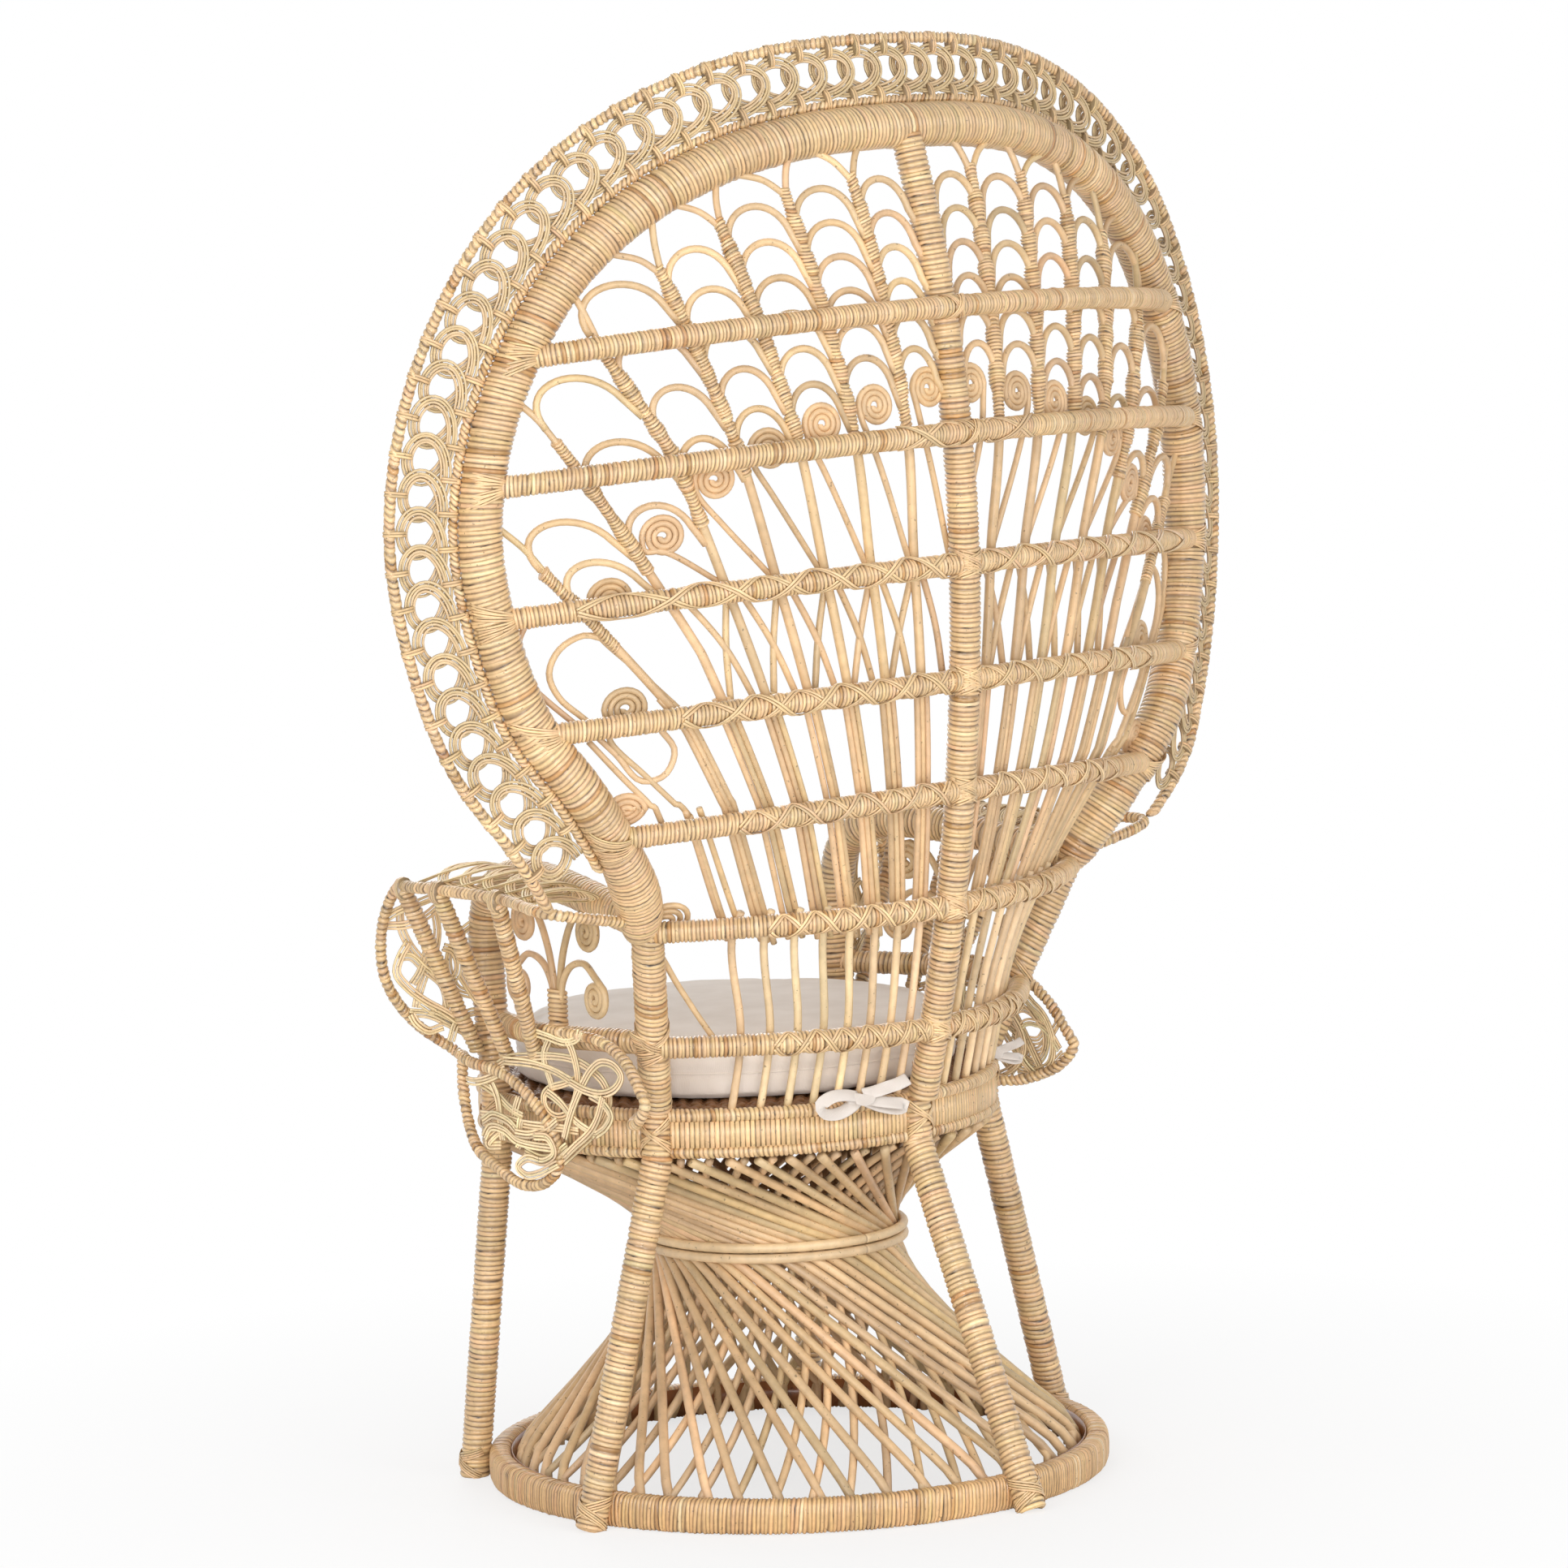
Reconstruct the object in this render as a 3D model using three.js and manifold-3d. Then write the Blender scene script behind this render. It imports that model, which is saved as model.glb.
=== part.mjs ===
// Peacock chair: a rattan armchair with a fan back, a lace border and an hourglass base.
// Millimetres, +Z up. The sitter faces -Y, and the sitter's left is +X.
import * as THREE from 'three';
import { mergeVertices } from 'three/addons/utils/BufferGeometryUtils.js';
import Module from 'manifold-3d';

const wasm = await Module();
wasm.setup();
const { Manifold, Mesh: SolidMesh } = wasm;

// Fit between pieces that touch
const CLEARANCE = 0.3;

// Facets
const SIDES_THICK = 8;
const SIDES_BAR = 6;
const SIDES_THIN = 5;
const SIDES_STRAND = 4;
const SIDES_RING = 36;
const HOOP_STEPS = 42;

// Base: floor hoop, hourglass of canes, five legs
const BASE_RADIUS = 326;
const BASE_HEIGHT = 36;
const BASE_WALL = 24;
const BASE_BEVEL = 6;
const WAIST_RADIUS = 126;
const WAIST_HEIGHT = 251;
const WAIST_ROD = 11;
const WAIST_FORWARD = 25;
const CANE_DIAMETER = 8.5;
const CANE_COUNT = 48;
const CANE_FLOOR_GAP = 4;
const LEG_DIAMETER = 31;
const FOOT_RADIUS = 343;
const LEGS = [
  { name: 'leg_rear', foot: 0, top: 0 },
  { name: 'leg_left', foot: 82, top: 61 },
  { name: 'leg_right', foot: -82, top: -61 },
  { name: 'leg_front_left', foot: 136, top: 112 },
  { name: 'leg_front_right', foot: -136, top: -112 },
];

// Seat: ring of two rods with a reed band between them, deck and tied pad
const SEAT_FORWARD = 76;
const SEAT_RADIUS = 268;
const SEAT_HEIGHT = 413;
const APRON_DEPTH = 38;
const TOP_ROD = 14;
const BOTTOM_ROD = 12;
const BAND_WALL = 8;
const DECK_RISE = 13;
const DECK_THICKNESS = 22;
const DECK_BEVEL = 20;
const PAD_RADIUS = 245;
const PAD_THICKNESS = 54;
const PAD_CROWN = 9;
const PAD_EDGE = 13;
const PAD_EDGE_RISE = 9;
const PAD_SEAM_DEPTH = 3;
const PAD_SEAM_HALF = 8;
const TAPE_WIDTH = 13;
const TAPE_THICKNESS = 5;
const KNOT_DIAMETER = 18;
const KNOT_REACH = 0.37;
const BOW_LOOP = [[4, 3.6], [16, 9], [38, 9.5], [46, 0]];
const BOW_RISE = 2;
const BOW_REAR_ANGLE = 14;
const BOW_RIGHT_ANGLE = -48;

// Back: a dish with a thick hoop, a spine and seven crossbars
const CREST_HEIGHT = 985;
const CREST_BACK = 284;
const CREST_UPPER_RADIUS = 1320;
const CREST_LOWER_RADIUS = 1900;
const DISH_RADIUS = 770;
const DISH_FOOT_RADIUS = 240;
const DISH_FOOT_HEIGHT = 490;
const DISH_FULL_HEIGHT = 745;
const DISH_BLEND = 2.2;
const HOOP_DIAMETER = 45;
const HOOP_OUTLINE = [
  [0, 1408], [130, 1402], [230, 1381], [322, 1340], [396, 1281], [446, 1212], [484, 1125],
  [500, 1030], [492, 946], [462, 845], [412, 768], [356, 697], [320, 648], [302, 614],
];
const SPINE_DIAMETER = 31;
const POST_DIAMETER = 33;
const POST_ANGLE = 61;
const SPINE_SET_BACK = 4;
const SPINE_STEPS = 12;
const BAR_DIAMETER = 22;
const LOW_BAR_RISE = 77;
const BAR_HEIGHTS = [1223, 1099, 968, 850, 737, 618, SEAT_HEIGHT + LOW_BAR_RISE];
const BAR_DROOP = [24, 24, 22, 20, 14, 0, 0];
const BAR_HALF_STEPS = 6;
const FIRST_COLLARED_BAR = 2;
const COLLAR_HEIGHT = 26;
const COLLAR_WALL = 3;
const HEAD_OVERLAP = 9;

// Lace border between a rod on the hoop and the outer rim
const BORDER_WIDTH = 92;
const BORDER_STOP_STEPS = 2;
const BORDER_RADIUS = 1150;
const INNER_ROD = 9;
const OUTER_ROD = 11;
const LACE_PITCH = 34;
const LACE_SWING = 22;
const LACE_LIFT = 5.6;
const LACE_STRAND = 4.6;
const LACE_STEPS = 8;
const LACE_SIDES = 3;
const LACE_MARGIN = 1.4;
const LACE_FRAMES = 900;

// Fan: ribs that spread from one point, with arched strands between them
const RIB_COUNT = 7;
const RIB_DIAMETER = 9;
const RIB_SPREAD = 0.0738;
const FAN_HEIGHT = 222;
const RIB_PARALLEL_BELOW = 555;
const RIB_TOPS = [1405, 1393, 1370, 1335, 1268, 1170, 1050];
const RIB_FLARE = [0, 0, 0, 0, 0, 0.16, 0.15, 0.3];
const RIB_FLARE_FROM = [0, 0, 0, 0, 0, 1100, 900, 825];
const RIB_LIFT_LOW = 11;
const RIB_LIFT_HIGH = -3;
const RIB_SET_BACK_FROM = 960;
const RIB_SET_BACK_FULL = 1120;
const RIB_CLEARANCE = 1.6;
const ARCH_DIAMETER = 6.5;
const ARCH_TOPS = [1100, 1100, 1098, 1076, 1066, 997, 871];
const ARCH_PITCHES = [34, 34, 36, 41, 54, 69, 46];
const ARCH_COUNTS = [6, 6, 6, 5, 4, 3, 2];
const ARCH_LEAD = 45;
const ARCH_RISE = 50;
const ARCH_LEAN = 0.08;
const ARCH_LANDING = 4;
const ARCH_CLEARANCE = 1.5;
const ARCH_STEPS = 4;
const ARCH_SIDES = 3;

// Arms: a wide hoop, a rail, a lobed outer rim on struts, lace on top
const ARM_ANGLE = 112;
const ARM_HOOP_DIAMETER = 36;
const ARM_HEIGHT = 648;
const ARM_RAIL_DIAMETER = 24;
const ARM_RAIL_HEIGHT = SEAT_HEIGHT + 81;
const ARM_RAIL_RADIUS = 287;
const ARM_RAIL_REAR_OUT = 18;
const ARM_RAIL_STEPS = 8;
const ARM_HOOP_STEPS = 14;
const ARM_RIM_DIAMETER = 11;
const ARM_RIM_STEPS = 46;
const REAR_LOBE_STEPS = 14;
const STRUT_DIAMETER = 15;
const STRUT_ANGLES = [109, 96, 87];
const STRUT_RADIUS = 292;
const STRUT_HEIGHT = SEAT_HEIGHT + 57;
const STRUT_TOP_STEPS = [18, 15, 11];
const SCROLL_STRAND = 7;
const SCROLL_TURNS = 1.5;
const SCROLL_RADIUS = 20;
const SCROLL_STEPS = 6;
const TRUNK_DIAMETER = 20;
const TRUNK_HEIGHT = 44;
const STEM_OUT = 4;
const STEM_HEIGHT = 30;
const UPPER_SCROLL_OUT = 46;
const UPPER_SCROLL_GAP = 2;
const LOWER_SCROLL_OUT = 60;
const LOWER_SCROLL_HEIGHT = 66;
const SHELF_PITCH = 36;
const SHELF_RINGS = 5;
const SHELF_START = 48;
const SHELF_MARGIN = 5;

const RATTAN = { color: 0xdcb684, roughness: 0.45, metalness: 0 };
const CANE = { color: 0xd8b48a, roughness: 0.5, metalness: 0 };
const STRAW = { color: 0xe0cc9f, roughness: 0.55, metalness: 0 };
const COTTON = { color: 0xe8e0d9, roughness: 0.95, metalness: 0 };

const radians = THREE.MathUtils.degToRad;
const vector = (x, y, z) => new THREE.Vector3(x, y, z);
const mirrored = (points, side) => points.map((p) => vector(p.x * side, p.y, p.z));
const chair = new THREE.Group();

// Curve that passes straight from point to point, with one step of a sweep to each
class Route extends THREE.Curve {
  constructor(points) {
    super();
    this.points = points;
  }

  getPoint(t) {
    const along = t * (this.points.length - 1);
    const index = Math.min(Math.max(Math.floor(along), 0), this.points.length - 2);
    return this.points[index].clone().lerp(this.points[index + 1], along - index);
  }

  getPointAt(u) {
    return this.getPoint(u);
  }

  getTangentAt(u) {
    return this.getTangent(u);
  }
}

// Points of a smooth curve through a few chosen ones
function smooth(points, steps) {
  const curve = new THREE.CatmullRomCurve3(points, false, 'centripetal');
  curve.arcLengthDivisions = steps * 10;
  return curve.getSpacedPoints(steps);
}

function polygon(radius, sides) {
  const corners = [];
  for (let i = 0; i < sides; i += 1) {
    const angle = (2 * Math.PI * (i + 0.5)) / sides;
    corners.push(new THREE.Vector2(radius * Math.cos(angle), radius * Math.sin(angle)));
  }
  return new THREE.Shape(corners);
}

function sweep(shape, points) {
  return new THREE.ExtrudeGeometry(shape, {
    steps: points.length - 1,
    bevelEnabled: false,
    extrudePath: new Route(points),
  });
}

// Round rod along points; grow adds a clearance all round and at the ends, for cutting
function rod(points, diameter, sides, grow = 0) {
  const route = points.map((point) => point.clone());
  const last = route.length - 1;
  route[0].addScaledVector(points[0].clone().sub(points[1]).normalize(), grow);
  route[last].addScaledVector(points[last].clone().sub(points[last - 1]).normalize(), grow);
  return sweep(polygon(diameter / 2 + grow / Math.cos(Math.PI / sides), sides), route);
}

// Ring turned about the Z axis from a closed outline of [radius, height] corners
function turned(outline, segments) {
  const profile = [...outline, outline[0]].map(([r, z]) => new THREE.Vector2(r, z));
  return new THREE.LatheGeometry(profile, segments).rotateX(Math.PI / 2);
}

function solid(geometry) {
  const bare = geometry.clone();
  bare.deleteAttribute('normal');
  bare.deleteAttribute('uv');
  const merged = mergeVertices(bare, 1e-3);
  return new Manifold(new SolidMesh({
    numProp: 3,
    vertProperties: new Float32Array(merged.attributes.position.array),
    triVerts: new Uint32Array(merged.index.array),
  }));
}

function surface(body) {
  const mesh = body.getMesh();
  const geometry = new THREE.BufferGeometry();
  geometry.setAttribute('position', new THREE.BufferAttribute(mesh.vertProperties, 3));
  geometry.setIndex(new THREE.BufferAttribute(mesh.triVerts, 1));
  geometry.computeVertexNormals();
  return geometry;
}

// Body with each cutter taken out, and only its main piece kept
function cut(body, cutters) {
  const rest = cutters.reduce((left, cutter) => left.subtract(cutter), body);
  const pieces = rest.decompose();
  return pieces.reduce((a, b) => (a.volume() > b.volume() ? a : b));
}

function fuse(bodies) {
  return bodies.reduce((a, b) => a.add(b));
}

function add(name, body, look) {
  const mesh = new THREE.Mesh(surface(body), new THREE.MeshStandardMaterial(look));
  mesh.name = name;
  chair.add(mesh);
}

// Point on a circle about the seat's axis; angle 0 is at the back, positive to the sitter's left
function seatPoint(angle, radius, height) {
  return vector(
    radius * Math.sin(radians(angle)),
    -SEAT_FORWARD + radius * Math.cos(radians(angle)),
    height,
  );
}

function basePoint(angle, radius, height) {
  return vector(radius * Math.sin(radians(angle)), radius * Math.cos(radians(angle)), height);
}

// Dish of the back
function spineBack(z) {
  const radius = z > CREST_HEIGHT ? CREST_UPPER_RADIUS : CREST_LOWER_RADIUS;
  return CREST_BACK - (z - CREST_HEIGHT) ** 2 / (2 * radius);
}

function dishRadius(z) {
  const share = (z - DISH_FOOT_HEIGHT) / (DISH_FULL_HEIGHT - DISH_FOOT_HEIGHT);
  const eased = THREE.MathUtils.clamp(share, 0, 1) ** DISH_BLEND;
  return DISH_FOOT_RADIUS + (DISH_RADIUS - DISH_FOOT_RADIUS) * eased;
}

function dish(x, z) {
  return vector(x, spineBack(z) - (x * x) / (2 * dishRadius(z)), z);
}

// Unit normal of the dish, towards the sitter
function dishNormal(x, z) {
  const step = 1;
  const across = dish(x + step, z).sub(dish(x - step, z));
  const upward = dish(x, z + step).sub(dish(x, z - step));
  return across.cross(upward).normalize();
}

// Unit normal of the border, which leaves the dish along its tangent
function borderNormal(x, z) {
  const across = vector(1, -x / BORDER_RADIUS, 0);
  const upward = vector(0, spineBack(z + 0.5) - spineBack(z - 0.5), 1);
  return across.cross(upward).normalize();
}

// Base hoop and apron ring
function baseOutline(grow) {
  const inner = BASE_RADIUS - BASE_WALL - grow;
  const outer = BASE_RADIUS + grow;
  const head = BASE_HEIGHT + grow;
  const bevel = BASE_BEVEL + grow * (2 - Math.SQRT2);
  return [
    [inner + bevel, -grow],
    [outer - bevel, -grow],
    [outer, bevel - grow],
    [outer, head - bevel],
    [outer - bevel, head],
    [inner + bevel, head],
    [inner, head - bevel],
    [inner, bevel - grow],
  ];
}
const baseCutter = solid(turned(baseOutline(CLEARANCE), SIDES_RING));
add('base_hoop', solid(turned(baseOutline(0), SIDES_RING)), RATTAN);

function seatRod(diameter, height, grow) {
  const ring = new THREE.TorusGeometry(SEAT_RADIUS, diameter / 2 + grow, SIDES_BAR, SIDES_RING);
  return solid(ring.translate(0, -SEAT_FORWARD, height));
}
const apronBottom = SEAT_HEIGHT - APRON_DEPTH;
const topRodCutter = seatRod(TOP_ROD, SEAT_HEIGHT, CLEARANCE);
const bottomRodCutter = seatRod(BOTTOM_ROD, apronBottom, CLEARANCE);
add('apron_top_rim', seatRod(TOP_ROD, SEAT_HEIGHT, 0), RATTAN);
add('apron_bottom_rim', seatRod(BOTTOM_ROD, apronBottom, 0), RATTAN);
const rodFlat = Math.cos(Math.PI / SIDES_BAR);
const bandFoot = apronBottom + (BOTTOM_ROD / 2) * rodFlat + CLEARANCE;
const bandHead = SEAT_HEIGHT - (TOP_ROD / 2) * rodFlat - CLEARANCE;
const bandOutline = [
  [SEAT_RADIUS - BAND_WALL / 2, bandFoot],
  [SEAT_RADIUS + BAND_WALL / 2, bandFoot],
  [SEAT_RADIUS + BAND_WALL / 2, bandHead],
  [SEAT_RADIUS - BAND_WALL / 2, bandHead],
];
add('apron_band', solid(turned(bandOutline, SIDES_RING).translate(0, -SEAT_FORWARD, 0)), CANE);

// Legs, trimmed flat on the floor and coped to the ring above them
const legCutters = [];
for (const leg of LEGS) {
  const top = seatPoint(leg.top, SEAT_RADIUS, apronBottom);
  const foot = basePoint(leg.foot, FOOT_RADIUS, 0);
  const below = foot.clone().addScaledVector(foot.clone().sub(top).normalize(), LEG_DIAMETER);
  const pole = solid(rod([top, foot, below], LEG_DIAMETER, SIDES_THICK));
  legCutters.push(solid(rod([top, foot, below], LEG_DIAMETER, SIDES_THICK, CLEARANCE)));
  add(leg.name, cut(pole.trimByPlane([0, 0, 1], 0), [bottomRodCutter, baseCutter]), RATTAN);
}

// Hourglass: straight canes that cross a waist ring at a slant, with one twist all round
function hourglass() {
  const waistOutline = [
    [WAIST_RADIUS - WAIST_ROD / 2, WAIST_HEIGHT - WAIST_ROD / 2],
    [WAIST_RADIUS + WAIST_ROD / 2, WAIST_HEIGHT - WAIST_ROD / 2],
    [WAIST_RADIUS + WAIST_ROD / 2, WAIST_HEIGHT + WAIST_ROD / 2],
    [WAIST_RADIUS - WAIST_ROD / 2, WAIST_HEIGHT + WAIST_ROD / 2],
  ];
  const ring = solid(turned(waistOutline, SIDES_RING).translate(0, -WAIST_FORWARD, 0));
  const headRadius = SEAT_RADIUS - BOTTOM_ROD / 4;
  const footRadius = BASE_RADIUS - BASE_WALL - CANE_DIAMETER / 2 - CLEARANCE;
  const headTwist = THREE.MathUtils.radToDeg(Math.acos(WAIST_RADIUS / headRadius));
  const footTwist = THREE.MathUtils.radToDeg(Math.acos(WAIST_RADIUS / footRadius));
  const headHeight = apronBottom - BOTTOM_ROD / 2 - CLEARANCE - CANE_DIAMETER / 2;
  const bodies = [ring];
  for (let i = 0; i < CANE_COUNT; i += 1) {
    const angle = (360 * i) / CANE_COUNT;
    const middle = basePoint(angle, WAIST_RADIUS, WAIST_HEIGHT).add(vector(0, -WAIST_FORWARD, 0));
    const head = seatPoint(angle + headTwist, headRadius, headHeight);
    const foot = basePoint(angle - footTwist, footRadius, CANE_FLOOR_GAP);
    bodies.push(solid(rod([head, middle, foot], CANE_DIAMETER, SIDES_STRAND)));
  }
  return Manifold.union(bodies);
}
add('hourglass_weave', cut(hourglass(), legCutters), CANE);

// Deck and pad
const deckTop = SEAT_HEIGHT + DECK_RISE;
const deckRadius = SEAT_RADIUS - TOP_ROD / 2 - CLEARANCE;
function deck(grow) {
  const outline = [
    [0, deckTop - DECK_THICKNESS - grow],
    [deckRadius + grow, deckTop - DECK_THICKNESS - grow],
    [deckRadius + grow, SEAT_HEIGHT + grow],
    [PAD_RADIUS - DECK_BEVEL + grow, deckTop + grow],
    [0, deckTop + grow],
  ];
  return solid(turned(outline, SIDES_RING).translate(0, -SEAT_FORWARD, 0));
}
const deckCutter = deck(CLEARANCE);
add('seat_deck', deck(0), CANE);

function cushion() {
  const foot = deckTop + CLEARANCE;
  const head = foot + PAD_THICKNESS;
  const middle = (foot + head) / 2;
  const outline = [
    [0, foot],
    [PAD_RADIUS - PAD_EDGE, foot],
    [PAD_RADIUS, foot + PAD_EDGE_RISE],
    [PAD_RADIUS, middle - PAD_SEAM_HALF],
    [PAD_RADIUS - PAD_SEAM_DEPTH, middle],
    [PAD_RADIUS, middle + PAD_SEAM_HALF],
    [PAD_RADIUS, head - PAD_EDGE_RISE],
    [PAD_RADIUS - PAD_EDGE, head],
    [PAD_RADIUS * 0.7, head + PAD_CROWN * 0.6],
    [PAD_RADIUS * 0.35, head + PAD_CROWN * 0.9],
    [0, head + PAD_CROWN],
  ];
  return solid(turned(outline, SIDES_RING).translate(0, -SEAT_FORWARD, 0));
}
add('seat_cushion', cushion(), COTTON);

// Bow of flat cotton tape: a knot and two open loops, lying along the ring
function bow(angle) {
  const [thick, wide] = [TAPE_THICKNESS / 2, TAPE_WIDTH / 2];
  const section = [[-wide, -thick], [wide, -thick], [wide, thick], [-wide, thick]];
  const tape = new THREE.Shape(section.map(([x, y]) => new THREE.Vector2(x, y)));
  const knot = new THREE.SphereGeometry(KNOT_DIAMETER / 2, SIDES_BAR, SIDES_STRAND);
  const bodies = [solid(knot.rotateX(Math.PI / 2))];
  for (const side of [-1, 1]) {
    const upper = BOW_LOOP.map(([out, rise]) => vector(side * out, 0, rise));
    const lower = BOW_LOOP.slice(0, -1).map(([out, rise]) => vector(side * out, 0, -rise)).reverse();
    bodies.push(solid(sweep(tape, [...upper, ...lower])));
  }
  const tied = fuse(bodies);
  const out = SEAT_RADIUS + TOP_ROD / 2 + KNOT_DIAMETER * KNOT_REACH + CLEARANCE;
  const place = seatPoint(angle, out, SEAT_HEIGHT + BOW_RISE);
  return tied.rotate([0, 0, -angle]).translate([place.x, place.y, place.z]);
}

// Main hoop of the back
const hoopRight = HOOP_OUTLINE.slice(1).map(([x, z]) => dish(-x, z)).reverse();
const hoopLeft = HOOP_OUTLINE.map(([x, z]) => dish(x, z));
const hoopKnots = [...hoopRight, ...hoopLeft];
const hoopPath = smooth(hoopKnots, HOOP_STEPS);
const hoopCutter = solid(rod(hoopPath, HOOP_DIAMETER, SIDES_THICK, CLEARANCE));
add('main_hoop', solid(rod(hoopPath, HOOP_DIAMETER, SIDES_THICK)), RATTAN);

// Frames along the bordered stretch of the hoop: place, outward direction in the dish, and normal to it
function hoopFrames(steps) {
  const curve = new THREE.CatmullRomCurve3(hoopKnots, false, 'centripetal');
  curve.arcLengthDivisions = LACE_FRAMES;
  const end = BORDER_STOP_STEPS / HOOP_STEPS;
  const frames = [];
  for (let i = 0; i <= steps; i += 1) {
    const share = THREE.MathUtils.lerp(end, 1 - end, i / steps);
    const place = curve.getPointAt(share);
    const normal = borderNormal(place.x, place.z);
    const outward = normal.clone().cross(curve.getTangentAt(share)).normalize();
    if (outward.dot(vector(place.x, 0, place.z - CREST_HEIGHT)) < 0) outward.negate();
    frames.push({ place, outward, normal });
  }
  return frames;
}

function beside(frame, out, lift) {
  return frame.place.clone().addScaledVector(frame.outward, out).addScaledVector(frame.normal, lift);
}

const innerRodOut = HOOP_DIAMETER / 2 + INNER_ROD / 2 + CLEARANCE;
const rimFrames = hoopFrames(HOOP_STEPS - 2 * BORDER_STOP_STEPS);
const innerRodPath = rimFrames.map((frame) => beside(frame, innerRodOut, 0));
const outerRimPath = rimFrames.map((frame) => beside(frame, BORDER_WIDTH, 0));
add('inner_rim', solid(rod(innerRodPath, INNER_ROD, SIDES_THIN)), RATTAN);
add('outer_rim', solid(rod(outerRimPath, OUTER_ROD, SIDES_THIN)), RATTAN);

// Least distance between the walls of a strand and those of its own other turns
function leastSelfGap(points, diameter) {
  const parts = 6;
  const dense = [];
  for (let i = 0; i < points.length - 1; i += 1) {
    for (let j = 0; j < parts; j += 1) dense.push(points[i].clone().lerp(points[i + 1], j / parts));
  }
  const nearest = 3 * parts;
  const farthest = 3 * LACE_STEPS * parts;
  let least = Infinity;
  dense.forEach((point, i) => {
    for (let j = i + nearest; j < Math.min(i + farthest, dense.length); j += 1) {
      least = Math.min(least, point.distanceTo(dense[j]));
    }
  });
  return least - diameter;
}

// Chain of linked rings: one strand that swings along and across the border as it goes round
function laceBorder() {
  const inside = innerRodOut + INNER_ROD / 2 + CLEARANCE + LACE_STRAND / 4;
  const outside = BORDER_WIDTH - OUTER_ROD / 2 - LACE_MARGIN - LACE_STRAND / 2;
  const middle = (inside + outside) / 2;
  const reach = (outside - inside) / 2;
  const fine = hoopFrames(LACE_FRAMES);
  const line = fine.map((frame) => beside(frame, middle, 0));
  const lengths = [0];
  for (let i = 1; i < line.length; i += 1) lengths.push(lengths[i - 1] + line[i].distanceTo(line[i - 1]));
  const total = lengths[lengths.length - 1];
  const rings = Math.round((total - 2 * LACE_SWING) / LACE_PITCH);
  const pitch = (total - 2 * LACE_SWING) / rings;
  const points = [];
  for (let step = 0; step <= rings * LACE_STEPS; step += 1) {
    const turn = (2 * Math.PI * step) / LACE_STEPS;
    const along = LACE_SWING + (pitch * step) / LACE_STEPS + LACE_SWING * Math.sin(turn);
    const frame = fine[lengths.findIndex((length) => length >= Math.min(along, total))];
    points.push(beside(frame, middle + reach * Math.cos(turn), LACE_LIFT * Math.sin(turn)));
  }
  console.log(`lace: ${rings} rings, least gap ${leastSelfGap(points, LACE_STRAND).toFixed(2)} mm`);
  return solid(rod(points, LACE_STRAND, LACE_SIDES));
}
const innerRodCutter = solid(rod(innerRodPath, INNER_ROD, SIDES_THIN, CLEARANCE));
add('lace_border', cut(laceBorder(), [innerRodCutter]), STRAW);

// Spine, posts and crossbars
const spinePoint = (z) => dish(0, z).addScaledVector(dishNormal(0, z), -SPINE_SET_BACK);
const spinePath = [];
const hoopTop = HOOP_OUTLINE[0][1];
for (let i = 0; i <= SPINE_STEPS; i += 1) {
  spinePath.push(spinePoint(THREE.MathUtils.lerp(SEAT_HEIGHT, hoopTop, i / SPINE_STEPS)));
}
const spineCutter = solid(rod(spinePath, SPINE_DIAMETER, SIDES_THICK, CLEARANCE));
add('spine', cut(solid(rod(spinePath, SPINE_DIAMETER, SIDES_THICK)), [hoopCutter, topRodCutter]), RATTAN);

const [hoopFootX, hoopFootZ] = HOOP_OUTLINE[HOOP_OUTLINE.length - 1];
const postCutters = [];
for (const [name, side] of [['left_post', 1], ['right_post', -1]]) {
  const head = dish(side * hoopFootX, hoopFootZ + HEAD_OVERLAP);
  const foot = seatPoint(side * POST_ANGLE, SEAT_RADIUS, SEAT_HEIGHT);
  const path = [head, head.clone().lerp(foot, 0.5), foot];
  postCutters.push(solid(rod(path, POST_DIAMETER, SIDES_THICK, CLEARANCE)));
  add(name, cut(solid(rod(path, POST_DIAMETER, SIDES_THICK)), [hoopCutter, topRodCutter]), RATTAN);
}

// Half width of the back at a height, on the hoop's centre line or on the posts below it
function halfWidth(z) {
  if (z <= hoopFootZ) {
    const foot = seatPoint(POST_ANGLE, SEAT_RADIUS, SEAT_HEIGHT);
    return THREE.MathUtils.mapLinear(z, SEAT_HEIGHT, hoopFootZ, foot.x, hoopFootX);
  }
  const rows = HOOP_OUTLINE.slice().reverse();
  const index = rows.findIndex(([, height]) => height >= z);
  const [[x0, z0], [x1, z1]] = [rows[index - 1], rows[index]];
  return THREE.MathUtils.mapLinear(z, z0, z1, x0, x1);
}

// The ribs pass on the sitter's side of the bars, and all set back into the hoop's plane near the top
function ribLift(z) {
  const share = THREE.MathUtils.smoothstep(z, RIB_SET_BACK_FROM, RIB_SET_BACK_FULL);
  return THREE.MathUtils.lerp(RIB_LIFT_LOW, RIB_LIFT_HIGH, share);
}

function barPoint(index, share) {
  const z = BAR_HEIGHTS[index] - BAR_DROOP[index] * share * share;
  const x = halfWidth(BAR_HEIGHTS[index] - BAR_DROOP[index]) * share;
  const lift = ribLift(z) - (RIB_DIAMETER + BAR_DIAMETER) / 2 - RIB_CLEARANCE;
  return dish(x, z).addScaledVector(dishNormal(x, z), lift);
}

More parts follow.
